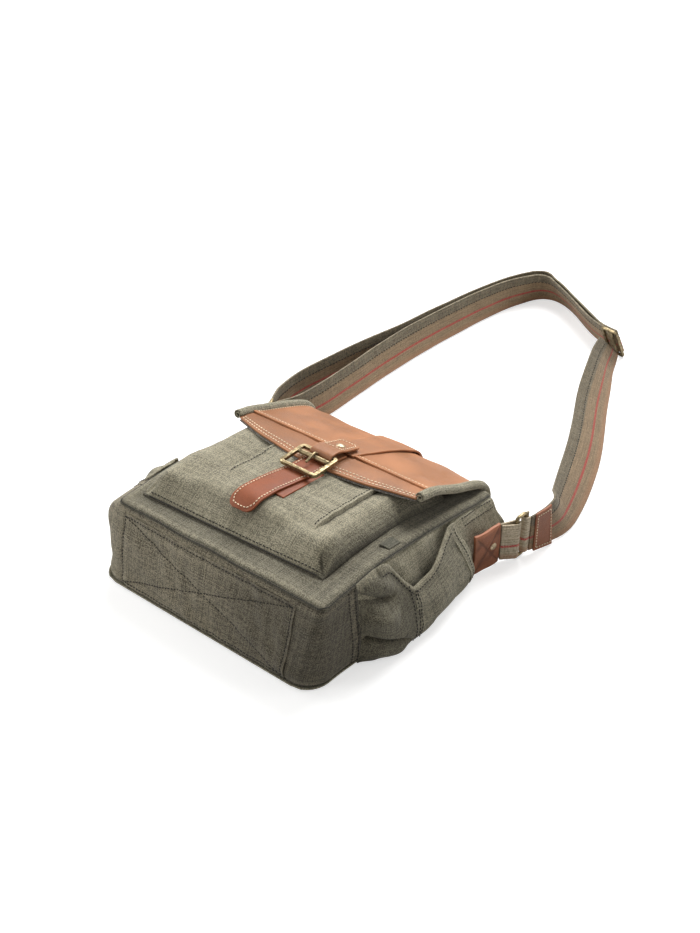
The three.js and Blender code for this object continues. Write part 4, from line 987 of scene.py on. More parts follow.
def patch_wall():
    """The base's second layer, drawn down along its crossed stitching."""
    wide, tall = (PATCH_RIGHT - PATCH_LEFT) * BASE_LENGTH, (PATCH_HIGH - PATCH_LOW) * WALL_HEIGHT
    slant = math.hypot(wide, tall)

    def spread(a, b):
        return mix(PATCH_LEFT, PATCH_RIGHT + PATCH_SLANT * (1 - b), a), mix(PATCH_LOW, PATCH_HIGH, b)

    def relief(a, b):
        u, v = a * wide, b * tall
        crossed = np.minimum(np.abs(u * tall - v * wide), np.abs(u * tall + v * wide - wide * tall)) / slant
        edge = np.minimum(np.minimum(u, wide - u), np.minimum(v, tall - v))
        sewn = np.minimum(crossed, np.abs(edge - 3))
        return base_relief(*spread(a, b)) + seam_dip(sewn, 0.8, 1.8) + 0.5 * ripple(u, v, 22, 15)

    return Wall(lambda a, b: base_place(*spread(a, b), offset=PATCH_LIFT), relief, thickness=1.1)


def patch_shade(a, b):
    # Painted shade, darker towards the right end, as on the base below it.
    return -0.6 * ease((a - 0.35) / 0.55)


def side_wall(side):
    def y_at(a, b):
        return mix(BASE_SEAM_Y + 0.8, mix(*WALL_END_Y, b), towards(side, a))

    def place(a, b):
        y = y_at(a, b)
        z = wall_z(y, b)
        return points(side * (wall_half(b) + swollen(y, b) + slouched(side, y, b)) + lean(y, z), y, z)

    def relief(a, b):
        y, v = y_at(a, b), b * WALL_HEIGHT
        seams = seam_dip(WALL_HEIGHT - v, 2.2, 2.6) + seam_dip(v, 1.8, 2.6)
        return 1.2 * ripple(y, v, 50, 21 + side) + seams

    return Wall(place, relief)


def side_wear_and_shade(a, b):
    # Pale beside the seam to the front panel, with painted shade in the seam itself.
    return seam_wear_and_shade((1 - b) * WALL_HEIGHT)


class BAG_OT_body(bpy.types.Operator):
    """Back and front panels and side walls"""

    bl_idname = "bag.body"
    bl_label = "Body"

    def execute(self, context):
        cloth_piece("back_panel", back_wall(), (96, 100), "stretched", "floor")
        front = front_wall()
        cloth_piece("front_panel", front, (130, 130), "stretched", "base_gusset", front_wear_and_shade)
        sewing = Sewing("side_wall_stitches", "Dark thread", "canvas")
        left, low, turn, bend, top = 0.0045, 0.004, 0.0125, 0.03, 0.99
        half_way = [(left, top), (left, bend), (turn, low)]
        sewing.row(front, half_way + [(1 - a, b) for a, b in reversed(half_way)], 0.2, 2.0)
        for name, side in SIDES.items():
            wall = side_wall(side)
            cloth_piece(f"side_gusset_{name}", wall, (90, 40), "stretched", "back_panel", side_wear_and_shade)
            for up in (0.82, 0.94):
                sewing.row(wall, [(towards(side, 0.74), up), (towards(side, 0.98), up)])
        sewing.sew()
        return {"FINISHED"}


class BAG_OT_base(bpy.types.Operator):
    """Base strip with its corners, and the second layer sewn on it"""

    bl_idname = "bag.base"
    bl_label = "Base"

    def execute(self, context):
        strip, patch = Wall(base_place, base_relief), patch_wall()
        brown = {"finishes": ["Base canvas"], "slot": "base_canvas"}
        cloth_piece("base_gusset", strip, (190, 50), "stretched", "back_panel", base_wear_and_shade, **brown)
        cloth_piece("base_patch", patch, (130, 48), "laid", "base_gusset", patch_shade, **brown)
        sewing = Sewing("base_stitches", "Dark thread", "base_canvas")
        low, high, left, right = 0.045, 0.955, 0.017, 0.983
        sewing.row(patch, [(left, low), (right, low), (right, high), (left, high), (left, low)])
        sewing.row(patch, [(left, low), (right, high)])
        sewing.row(patch, [(left, high), (right, low)])
        for inset in (0.009, 0.026):
            for end in (inset, 1 - inset):
                sewing.row(strip, [(end, 0.04), (end, 0.97)])
        sewing.sew()
        return {"FINISHED"}


# Side pockets

def side_pocket_point(side, y, at, sewn):
    """A place on a side pocket, which stands off the side wall. at runs from the floor edge to the front
    seam, and sewn is 1 in a seam."""
    foot, clear_foot, drop = 1.6, 2.9, 1.4
    rise, share = smooth(PUFF_RISE, at), smooth(PUFF_SHARE, at)
    top = front_z(y) - drop
    z = mix(foot, top, rise)
    t = np.clip((z - clear_foot) / (top - clear_foot), 0, 1)
    out = mix(2.4, 0.5, sewn) + smooth(POCKET_PUFF, y) * share + slouched(side, y, t - 0.03)
    return points(side * (wall_half(t) + swollen(y, t) + out) + lean(y, np.maximum(z, 3)), y, z)


def side_pocket_wall(side, low, high, reach, seed, thickness=1.3):
    """A panel between two seams, each given by its place at the floor and at the front seam."""
    def flat(a, b):
        y = mix(mix(*low, b), mix(*high, b), towards(side, a))
        return y, b * smooth(reach, y) * 100

    def place(a, b):
        y, percent = flat(a, b)
        sewn = np.maximum(ease((50 - y) / 11), ease((percent - 86) / 12) * ease((74 - y) / 12))
        return side_pocket_point(side, y, percent / 100, sewn)

    def relief(a, b):
        y, percent = flat(a, b)
        edge = (1 - b) * smooth(reach, y) * 100
        rim = np.where(y < 64, 0, 0.9 * bell(edge - 2.5, 3))
        return folds(y, percent, SIDE_POCKET_FOLDS) + rim + 0.8 * ripple(y, percent, 30, seed + side)

    return Wall(place, relief, thickness)


def side_pocket_wear_and_shade(soil):
    # Pale along the edge at the front seam, and darkened all over by painted shade, more on the lower panel,
    # which faces down.
    return lambda a, b: 0.9 * bell((1 - b) * 60, 2.5) - soil


class BAG_OT_side_pockets(bpy.types.Operator):
    """Open side pockets with a notch, a welted seam and a hem"""

    bl_idname = "bag.side_pockets"
    bl_label = "Side pockets"

    def execute(self, context):
        sewing = Sewing("side_pocket_stitches", "Dark thread", "canvas")
        for name, side in SIDES.items():
            lower = side_pocket_wall(side, SIDE_FOOT_Y, WELT_Y + WELT_OVERLAP, LOWER_REACH, 31)
            upper = side_pocket_wall(side, WELT_Y - WELT_OVERLAP, HEM_Y + HEM_OVERLAP, UPPER_REACH, 41)
            hem = side_pocket_wall(side, HEM_Y - 1, HEM_Y + HEM_WIDTH, UPPER_REACH, 51, thickness=2.4)
            gusset = f"side_gusset_{name}"
            # The last value in each row is how much painted shade darkens that panel.
            for part, wall, columns, soil in (("lower", lower, 48, 0.65), ("upper", upper, 64, 0.4)):
                cloth_piece(f"side_pocket_{part}_{name}", wall, (columns, 76), "stretched", gusset,
                            side_pocket_wear_and_shade(soil))
            cloth_piece(f"side_hem_{name}", hem, (10, 60), "folded", gusset, rim=0.8)
            # Rows of (wall, stitched line, lift)
            for wall, line, lift in (
                (lower, [(0.9, 0.05), (0.9, 0.98)], 0.5),
                (lower, [(0.985, 0.05), (0.985, 0.98)], 0.5),
                (upper, [(0.07, 0.05), (0.07, 0.97)], 0.5),
                (lower, [(0.5, 0.93), (0.7, 0.94), (0.95, 0.92)], 0.25),
                (upper, [(0.06, 0.94), (0.97, 0.95)], 0.25),
                (hem, [(0.5, 0.04), (0.5, 0.97)], 0.1),
            ):
                sewing.row(wall, [(towards(side, a), b) for a, b in line], lift)
        sewing.sew()
        return {"FINISHED"}


# Front pocket

def pocket_low(x):
    return POCKET_LOW + POCKET_SKEW * (x - POCKET_X)


def slope(share):
    """A straight slope from 0 that rounds off to 1."""
    share = np.minimum(share, 1 + SLOPE_ROUND)
    return share - np.maximum(share - 1 + SLOPE_ROUND, 0) ** 2 / (4 * SLOPE_ROUND)


def pocket_flat(a, b):
    x = POCKET_X + (2 * a - 1) * POCKET_HALF
    return x, mix(pocket_low(x), POCKET_HIGH, b)


def pocket_place(a, b):
    """The front pocket, a soft box of cloth: a runs from left to right, b from its low seam to its mouth."""
    across = np.clip(2 * a - 1, -1, 1)
    x, y = pocket_flat(a, b)
    from_side, from_low = (1 - np.abs(across)) * POCKET_HALF, np.maximum(b, 0) * (POCKET_HIGH - pocket_low(x))
    slope_run = mix(SIDE_SLOPE, MIDDLE_SLOPE, np.cos(across * math.pi / 2) ** 2)
    side_round = np.sin(np.minimum(from_side / SIDE_ROUND, 1) * math.pi / 2) ** 0.7
    return points(x, y, front_z(y) + 1 + smooth(POCKET_DEEP, y) * side_round * slope(from_low / slope_run))


def pleat(x, y, edge, side, foot):
    """The pleat's overlapping edge: higher on its own side, dropping at the edge, closed below its foot."""
    off = (x - edge) * side
    drop = np.where(off < 0, 2.2 * np.exp(off / 8), -2.6 * np.exp(-np.maximum(off, 0) / 9))
    return drop * ease((y - foot) / 16)


def pocket_relief(a, b):
    x, y = pocket_flat(a, b)
    edge = np.minimum(POCKET_HALF - np.abs(x - POCKET_X), y - pocket_low(x))
    inner = ease((edge - 8) / 18)
    under_strap = 1 - 0.85 * bell(x, 18) * ease((y - 30) / 10)
    soft = (1.1 * ripple(x, y, 60, 61) + 0.55 * ripple(x, y, 24, 62)) * inner * under_strap
    pleats = pleat(x, y, RIGHT_PLEAT_X, 1, RIGHT_PLEAT_FOOT) + pleat(x, y, LEFT_PLEAT_X, -1, LEFT_PLEAT_FOOT)
    return soft + folds(x, y, POCKET_FOLDS) * under_strap + folds(x, y, DARTS) + pleats * 0.9


def pocket_wear_and_shade(a, b):
    x, y = pocket_flat(a, b)
    low, side = y - pocket_low(x), POCKET_HALF - np.abs(x - POCKET_X)
    # Painted shade in the right dart's crease.
    dart = fold(x, y, RIGHT_DART, 0.9, -1.2)
    crest = 0.35 * bell(np.minimum(low / 27, side / 11) - 1, 0.3)
    # Painted shadow beside the right pleat's overlapping edge.
    pleat_shadow = ease((y - 50) / 12) * bell(x - RIGHT_PLEAT_X - 1.2, 1.2)
    # Painted shade on the pocket's right wall, which faces away from the light.
    right_wall_shade = 0.5 * (x > POCKET_X) * (1 - ease((side - 6) / 9))
    # Painted shade in the seams along the pocket's low edge and sides; the crest is pale where it rubs.
    return crest + dart - 1.2 * bell(np.minimum(low, side), 1.2) - 0.8 * pleat_shadow - right_wall_shade


def pocket_at(x, y):
    """Shares of the front pocket's cloth at a place."""
    x, y = np.asarray(x, float), np.asarray(y, float)
    low = pocket_low(x)
    return np.stack([((x - POCKET_X) / POCKET_HALF + 1) / 2, (y - low) / (POCKET_HIGH - low)], -1)


def tag_wall():
    def place(a, b):
        y = TAG_Y + TAG_TALL * b
        return points(TAG_X + TAG_LONG * a, y, front_z(y) + 1.2 + 0.5 * np.sin(math.pi * a))

    return Wall(place, thickness=1)


class BAG_OT_front_pocket(bpy.types.Operator):
    """Box pocket on the front, with two pleats and sewn corners, and the plain tag beside it"""

    bl_idname = "bag.front_pocket"
    bl_label = "Front pocket"

    def execute(self, context):
        wall = Wall(pocket_place, pocket_relief, thickness=1.3)
        cloth_piece("front_pocket", wall, (190, 170), "gathered", "front_panel", pocket_wear_and_shade)
        sewing = Sewing("front_pocket_stitches", "Dark thread", "canvas")
        low_row = np.linspace(-90, 82, 30)
        sewing.row(wall, pocket_at(low_row, pocket_low(low_row) + 0.5), pitch=2.0)
        sewing.row(wall, pocket_at(low_row, pocket_low(low_row) + 2.8))
        for x, foot in ((RIGHT_PLEAT_X - 3, RIGHT_PLEAT_FOOT), (LEFT_PLEAT_X + 3, LEFT_PLEAT_FOOT)):
            sewing.row(wall, pocket_at([x] * 8, np.linspace(foot + 6, 150, 8)))
        sewing.sew()
        cloth_piece("side_tag", tag_wall(), (12, 18), "folded", "front_panel",
                    finishes=["Tag cloth"], slot="lining")
        return {"FINISHED"}


# Flap

FLAP_LENGTH, flap_line = curve(FLAP_RUN)
FLAP_FINE = np.linspace(0, FLAP_LENGTH, 2000)


def flap_run_at_y(y):
    return np.interp(y, np.maximum.accumulate(flap_line(FLAP_FINE)[0]), FLAP_FINE)


def flap_run_at_z(z):
    return np.interp(-z, np.maximum.accumulate(-flap_line(FLAP_FINE)[1]), FLAP_FINE)


def flap_droop(x, run):
    """How far the flap's right end sinks towards its fold."""
    return FLAP_DROOP * ease((x - 40) / 55) * ease((run - 40) / 55) * (1 - ease((run - 125) / 50))


def flap_point(x, run, lift):
    """A point above the middle of the flap's leather, a length along its run."""
    y, z = flap_line(run)
    step_y, step_z = np.subtract(flap_line(run + 0.2), flap_line(run - 0.2))
    step = np.maximum(np.hypot(step_y, step_z), 1e-9)
    return points(x, y - step_z / step * lift, z - flap_droop(x, run) + step_y / step * lift)


def flap_front_y(x):
    return mix(FLAP_MIDDLE_Y, FLAP_CORNER_Y, np.clip(np.abs(x - FLAP_X) / FLAP_HALF, 0, 1) ** 2)


def flap_x(a, inset=0):
    return FLAP_X + (2 * a - 1) * (FLAP_HALF - inset)


def flap_main_wall():
    start = flap_run_at_y(FLAP_SEAM_Y - 0.5)

    def place(a, b):
        run = mix(start, FLAP_LENGTH, b)
        return flap_point(flap_x(a), run, 1.7 * bell(run - start, 7))

    def relief(a, b):
        x, run = flap_x(a), mix(start, FLAP_LENGTH, b)
        soft = 0.7 * ripple(x, run, 75, 71) + 0.25 * ripple(x, run, 26, 72)
        inner = ease((run - start) / 16) * ease((FLAP_HALF - np.abs(x - FLAP_X)) / 12)
        return (soft + folds(x, run, FLAP_FOLDS)) * inner

    return Wall(place, relief, size("leather"))


def flap_band_wall():
    def place(a, b):
        x = flap_x(a)
        run = mix(flap_run_at_y(flap_front_y(x)), flap_run_at_y(FLAP_SEAM_Y + 4), b)
        return flap_point(x, run, -0.2 - 0.6 * (1 - b) ** 3)

    return Wall(place, lambda a, b: 0.3 * ripple(flap_x(a), b * 30, 40, 81), thickness=1.9)


def flap_lining_wall():
    def place(a, b):
        x = flap_x(a, inset=1)
        run = mix(flap_run_at_y(flap_front_y(x) - 0.9), flap_run_at_y(LINING_END_Y), b)
        return flap_point(x, run, -2.0 - 0.6 * (1 - b) ** 8)

    return Wall(place, thickness=1.0)


def flap_wear_and_highlight(a, b):
    """Rubbed along the front and side edges, and a painted highlight that makes it paler to the right."""
    edges = 0.7 * bell(b * 60, 2.2) + 0.35 * bell(from_ends(a) * 190, 3)
    return edges + 0.45 * ease((a - 0.5) / 0.4)


def band_wear_and_highlight(a, b):
    """The front band is darker than the flap behind it, and shares its rubbed edges and painted highlight."""
    return flap_wear_and_highlight(a, b) - 0.4


class BAG_OT_flap(bpy.types.Operator):
    """Leather flap with its front band, lining and cream stitching"""

    bl_idname = "bag.flap"
    bl_label = "Flap"

    def execute(self, context):
        main, band = flap_main_wall(), flap_band_wall()
        leather_piece("flap_leather", main, (110, 100), flap_wear_and_highlight, "Flap leather", "flap_leather")
        leather_piece("flap_front_band", band, (110, 24), band_wear_and_highlight, "Flap leather", "flap_leather")
        cloth_piece("flap_lining", flap_lining_wall(), (80, 50), "laid", "flap_leather",
                    finishes=["Lining"], slot="lining")
        sewing = Sewing("flap_stitches", "Cream thread", "flap_leather")
        across = np.linspace(0.015, 0.985, 24)
        for wall, depth in ((main, 0.024), (band, 0.085), (band, 0.2)):
            sewing.row(wall, [(a, depth) for a in across])
        for end in (0.012, 0.988):
            sewing.row(main, [(end, 0.03), (end, 0.78)])
        sewing.sew()
        return {"FINISHED"}


def roll_wall(side):
    """Canvas rolled up along the flap's side."""
    start, end = flap_run_at_y(FLAP_CORNER_Y + 0.5), flap_run_at_z(ROLL_END_Z)
    x = FLAP_X + side * (FLAP_HALF - 1.2 + ROLL_RADIUS)

    def place(a, b):
        angle = -math.pi / 2 + (2 * math.pi * ROLL_TURNS) * a
        radius = mix(ROLL_OUTER, ROLL_INNER, np.clip(a, 0, 1) ** 0.9) * (1 - 0.12 * ease((b - 0.75) / 0.25))
        return flap_point(x + side * radius * np.sin(angle), mix(start, end, b), 1 + radius * np.cos(angle))

    def relief(a, b):
        return 0.25 * ripple(a * 40, b * 130, 22, 91 + side) * ease(a * 6)

    return Wall(place, relief, thickness=0.95)


class BAG_OT_flap_rolls(bpy.types.Operator):
    """Rolled canvas edges along the flap's sides"""

    bl_idname = "bag.flap_rolls"
    bl_label = "Flap rolls"

    def execute(self, context):
        for name, side in SIDES.items():
            cloth_piece(f"flap_roll_{name}", roll_wall(side), (66, 70), "folded", "flap_leather", rim=0.2)
        return {"FINISHED"}


# Flap strap, buckle and closure strap

def buckle_z(y):
    return BUCKLE_FRONT_Z - BUCKLE_SLOPE * (y - (BUCKLE_Y - BUCKLE_TALL / 2))


def flap_strap_wall():
    start, fold_run, end = flap_run_at_y(152), flap_run_at_y(FLAP_FOLD_Y), flap_run_at_z(24)

    def place(a, b):
        run = mix(start, end, b)
        way = np.clip((run - start) / (fold_run - start), 0, 1)
        x = mix(mix(-5.6, -10, way), mix(18, 29, way), a)
        crown = 1 - np.abs(2 * a - 1) ** 3
        return flap_point(x, run, 2.1 + (0.4 + 1.5 * np.sin(math.pi * way) ** 2) * mix(0.3, 1, crown))

    return Wall(place, lambda a, b: 0.25 * ripple(30 * a, 150 * b, 30, 95), thickness=1.9)


def tab_wall():
    """A leather tab folded round the buckle's rear bar, its upper layer on the flap strap."""
    on_flap = lambda y, lift: float(smooth(FLAP_RUN, y)) + 1 + lift
    rear = BUCKLE_Y + BUCKLE_TALL / 2
    bar_y, bar_z = rear - BUCKLE_BAR / 2, buckle_z(rear)
    under = [(y, on_flap(y, 1.4)) for y in (148, 143, 138)]
    turn = [(bar_y - TAB_TURN_RADIUS * math.cos(angle), bar_z + TAB_TURN_RADIUS * math.sin(angle))
            for angle in np.linspace(-0.45, 0.5, 6) * math.pi]
    over = [(138, bar_z + 2.4), (150, on_flap(150, 6.6)), (168, on_flap(168, 6.2))]
    long, line = curve(under + turn + over)

    def place(a, b):
        half = TAB_HALF - rounding(TAB_CORNER, (1 - b) * long) * TAB_CORNER_IN / TAB_CORNER
        return points(TAB_X + (2 * a - 1) * half, *line(b * long))

    return Wall(place, thickness=1.8)


def pocket_top(x, y):
    return pocket_place(*pocket_at(x, y).T)[..., 2] + 0.6


def closure_wall():
    def place(a, b):
        x, y = (mix(tip, head, b) for tip, head in zip(CLOSURE_TIP, CLOSURE_HEAD))
        across = 2 * a - 1
        half = CLOSURE_HALF - rounding(CLOSURE_TIP_ROUND, y - CLOSURE_TIP[1])
        z = pocket_top(np.zeros_like(y), y) + smooth(CLOSURE_LIFT, y) - 0.5 * across ** 2
        return points(x + across * half, y, z)

    return Wall(place, lambda a, b: 0.2 * ripple(25 * a, 92 * b, 30, 97), thickness=1.9)


def backing_wall():
    def place(a, b):
        y, across = mix(BACKING_LOW, BACKING_HIGH, b), 2 * a - 1
        z = pocket_top(np.full_like(y, BACKING_X), y) + BACKING_LIFT - 0.5 * across ** 2
        return points(BACKING_X + across * BACKING_HALF, y, z)

    return Wall(place, thickness=1.6)


def rounded_frame(name, wide, tall, corner, windows, bar, thick, soften):
    """A flat frame: a plate with rounded corners and one or two windows, given its thickness and softened."""
    deselect()
    bpy.ops.mesh.primitive_plane_add(size=1)
    piece = begin(name)
    edit(piece, bpy.ops.transform.resize, value=(wide * MM, tall * MM, 1))
    if windows == 2:
        edit(piece, bpy.ops.mesh.bisect, plane_co=(0, 0, 0), plane_no=(1, 0, 0))
    edit(piece, bpy.ops.mesh.inset, thickness=bar * MM, use_individual=windows == 2, use_even_offset=True)
    select_only(piece)
    bpy.ops.object.mode_set(mode="EDIT")
    bpy.ops.mesh.delete(type="FACE")
    bpy.ops.mesh.select_mode(type="VERT")
    bpy.ops.mesh.select_all(action="DESELECT")
    bpy.ops.object.mode_set(mode="OBJECT")
    for spot in piece.data.vertices:
        off_corner = max(abs(abs(spot.co.x) - wide * MM / 2), abs(abs(spot.co.y) - tall * MM / 2))
        spot.select = off_corner < 1e-6
    bpy.ops.object.mode_set(mode="EDIT")
    bpy.ops.mesh.bevel(offset=corner * MM, segments=6, affect="VERTICES")
    bpy.ops.object.mode_set(mode="OBJECT")
    apply_modifier(piece, "SOLIDIFY", thickness=thick * MM, offset=0)
    apply_modifier(piece, "BEVEL", width=soften * MM, segments=4, limit_method="ANGLE",
                   angle_limit=math.radians(40))
    return piece


def move_mesh(piece, place, unit_size=1.0):
    """Puts each vertex at its place on the bag, worked out from its own coordinates, counted in a unit."""
    local = np.array([v.co for v in piece.data.vertices]) / unit_size
    piece.data.vertices.foreach_set("co", to_row(place(local)).ravel())
    piece.data.update()


def shade_by_angle():
    bpy.ops.object.shade_smooth_by_angle(angle=math.radians(50))


def rod(name, path, radius, sides=16):
    """A round rod along a path, with rounded ends: a cylinder drawn along it."""
    long, line = curve(path)
    where = lambda at: np.stack(line(at), -1)
    deselect()
    bpy.ops.mesh.primitive_cylinder_add(vertices=sides, radius=1, depth=2)
    piece = begin(name)
    for share in (0, -0.97, -0.9, -0.6, -0.3, 0.3, 0.6, 0.9, 0.97):
        edit(piece, bpy.ops.mesh.bisect, plane_co=(0, 0, share), plane_no=(0, 0, 1))

    def place(local):
        at = (local[:, 2] + 1) / 2 * long
        ahead = unit(where(at + 0.3) - where(at - 0.3))
        side = unit(np.cross(ahead, np.where(np.abs(ahead[:, 2:]) > 0.8, [[1.0, 0, 0]], [[0, 0, 1.0]])))
        up = np.cross(side, ahead)
        thin = radius * np.where(np.abs(local[:, 2]) > 0.99, 0.6, 1.0)
        return where(at) + side * (local[:, 0] * thin)[:, None] + up * (local[:, 1] * thin)[:, None]

    move_mesh(piece, place)
    bpy.ops.object.shade_smooth()
    return piece


def rivet(name, seat, outward, radius, rise):
    """A domed rivet head with a rolled rim: half a ball, flattened."""
    deselect()
    bpy.ops.mesh.primitive_uv_sphere_add(segments=24, ring_count=14, radius=1)
    piece = begin(name)
    edit(piece, bpy.ops.mesh.bisect, plane_co=(0, 0, 0), plane_no=(0, 0, 1), clear_inner=True, use_fill=True)
    turned = np.array(Vector(outward).to_track_quat("Z", "Y").to_matrix())

    def place(local):
        x, y, z = local.T
        dome = 0.5 * z ** 0.5 + 0.5 * np.exp(-(np.hypot(x, y) / 0.62) ** 4) * (z > 0)
        return np.array(seat) + np.stack([x * radius, y * radius, rise * dome], -1) @ turned.T

    move_mesh(piece, place)
    shade_by_angle()
    settle(piece, ["Rubbed brass"], "brass", name.removesuffix("_brass"))


class BAG_OT_closure(bpy.types.Operator):
    """Flap strap, buckle tab and the closure strap with its backing"""

    bl_idname = "bag.closure"
    bl_label = "Closure strap"

    def execute(self, context):
        tab, closure = tab_wall(), closure_wall()
        edge_rub = lambda a, b: 0.6 * bell(from_ends(a) * 26, 1.5)
        tan, brown = ("Flap leather", "flap_leather"), ("Strap leather", "strap_leather")
        leather_piece("flap_strap", flap_strap_wall(), (24, 90), edge_rub, *tan)
        leather_piece("buckle_tab", tab, (20, 90), edge_rub, *tan)
        leather_piece("closure_strap", closure, (22, 80), edge_rub, *brown)
        leather_piece("closure_backing", backing_wall(), (20, 40), edge_rub, *brown)
        sewing = Sewing("closure_stitches", "Cream thread", "strap_leather")
        half_way = [(0.1, 0.98), (0.1, 0.09), (0.2, 0.035)]
        round_tip = half_way + [(0.5, 0.028)] + [(1 - a, b) for a, b in reversed(half_way)]
        round_tab = [(0.12, 0.6), (0.12, 0.93), (0.22, 0.965), (0.78, 0.965), (0.88, 0.93), (0.88, 0.6)]
        for wall, line in ((closure, round_tip), (tab, round_tab), (tab, [(0.88, 0.62), (0.12, 0.62)])):
            sewing.row(wall, line, pitch=3.0)
        sewing.sew(2.2)
        return {"FINISHED"}


class BAG_OT_buckle(bpy.types.Operator):
    """Roller buckle with its prong, and the rivet on its tab"""

    bl_idname = "bag.buckle"
    bl_label = "Buckle"

    def execute(self, context):
        piece = rounded_frame("buckle_frame_brass", BUCKLE_WIDE, BUCKLE_TALL, BUCKLE_CORNER, 1, BUCKLE_BAR,
                              BUCKLE_THICK, BUCKLE_SOFT)

        def place(local):
            y = BUCKLE_Y + local[:, 1]
            near = np.clip(-local[:, 1] / (BUCKLE_TALL / 2) - 0.7, 0, 0.3) / 0.3
            bowed = 1.1 * np.cos(local[:, 0] / (BUCKLE_WIDE / 2) * math.pi / 2) * near
            return points(BUCKLE_X + local[:, 0], y - 0.8 * bowed, buckle_z(y) + local[:, 2] + bowed)

        move_mesh(piece, place, MM)
        shade_by_angle()
        settle(piece, ["Antique brass"], "brass", "buckle_frame")
        roller_z, roller_half = buckle_z(ROLLER_Y), BUCKLE_WIDE / 2 - BUCKLE_BAR - 0.3
        across = np.linspace(-roller_half, roller_half, 5)
        roller_path = [(BUCKLE_X + x, ROLLER_Y, roller_z) for x in across]
        roller = rod("buckle_roller_brass", roller_path, ROLLER_RADIUS, 24)
        settle(roller, ["Antique brass"], "brass", "buckle_roller")
        top = roller_z + ROLLER_RADIUS + PRONG_RADIUS + 0.1
        prong_path = [(BUCKLE_X, ROLLER_Y + back, top + drop) for back, drop in PRONG_RUN]
        prong = rod("buckle_prong_brass", prong_path, PRONG_RADIUS)
        settle(prong, ["Antique brass"], "brass", "buckle_prong")
        tab = tab_wall()
        share = np.linspace(0.6, 1, 200)
        line = tab.at(np.full(200, 0.5), share, 0.9)
        best = int(np.argmin(np.abs(line[:, 1] - TAB_RIVET_Y)))
        outward = tab.normal(np.array([0.5]), share[best:best + 1])[0]
        rivet("buckle_rivet_brass", (TAB_RIVET_X, *line[best, 1:]), outward, TAB_RIVET_RADIUS, TAB_RIVET_RISE)
        return {"FINISHED"}


# Shoulder strap

def strap_line(route):
    """A strap's length, and its places a length along its route, up its width and out from its middle."""
    long, line = curve(route, measured=slice(2))

    def place(at, height, out):
        at = np.clip(at, 0, long)
        x, y, lift, tilt = line(at)
        steps = np.subtract(line(at + 0.5), line(at - 0.5))
        ahead_x, ahead_y = np.moveaxis(unit(np.stack(steps[:2], -1)), -1, 0)
        tilt = np.radians(tilt)
        up = points(-ahead_y * np.sin(tilt), ahead_x * np.sin(tilt), np.cos(tilt))
        right = np.cross(points(ahead_x, ahead_y, 0), up)
        return points(x, y, lift) + up * np.asarray(height)[..., None] + right * np.asarray(out)[..., None]

    return long, place


def strap_wall(route, seed, cut):
    """A run of the strap, whose upper edge is shorter by the cut."""
    long, place = strap_line(route)
    width = size("strap_width")

    def spread(a, b):
        return a * (long - cut * b), b * width

    def relief(a, b):
        at, height = spread(a, b)
        sewn = seam_dip(height - STRAP_SEAM, 0.5, 1.0) + np.where(height < STRAP_SEAM, 0.25, 0)
        return sewn + 0.45 * ripple(at, height * 0.5, 70, seed)

    return Wall(lambda a, b: place(*spread(a, b), np.zeros(np.shape(a))), relief, size("strap_thickness"))


def loop_wall(start, bar, end, radius, thickness):
    """Webbing that comes from a start, goes round a bar and goes back to an end, standing on its edge."""
    start, bar, end = (np.array(p, float) for p in (start, bar, end))
    back = unit((start + end) / 2 - bar)
    aside = np.array([-back[1], back[0]])
    first = np.sign((start - bar) @ aside) or 1
    turn = [bar + aside * first * radius * math.cos(angle) - back * radius * math.sin(angle)
            for angle in np.linspace(0, math.pi, 7)]
    long, line = curve([start, *turn, end])
    width = size("strap_width")

    def place(a, b):
        return points(*line(a * long), LOOP_LIFT + b * width)

    return Wall(place, lambda a, b: 0.1 * ripple(a * long, b * width, 20, 5), thickness)


def loop_piece(node, wall, ring):
    cloth_piece(node, wall, (50, 20), "folded", ring, finishes=["Loop webbing"], slot="webbing")


def strap_patch_wall():
    _, place = strap_line(RIGHT_ROUTE)

    def on_strap(a, b):
        out = np.full(np.shape(a), STRAP_PATCH_OUT)
        return place(mix(*STRAP_PATCH_ENDS, a), mix(*STRAP_PATCH_EDGES, b), out)

    return Wall(on_strap, thickness=1.8)


def strap_patch_wear(a, b):
    return 0.6 * bell(np.minimum(from_ends(a), from_ends(b)) * 36, 1.6) - 0.4


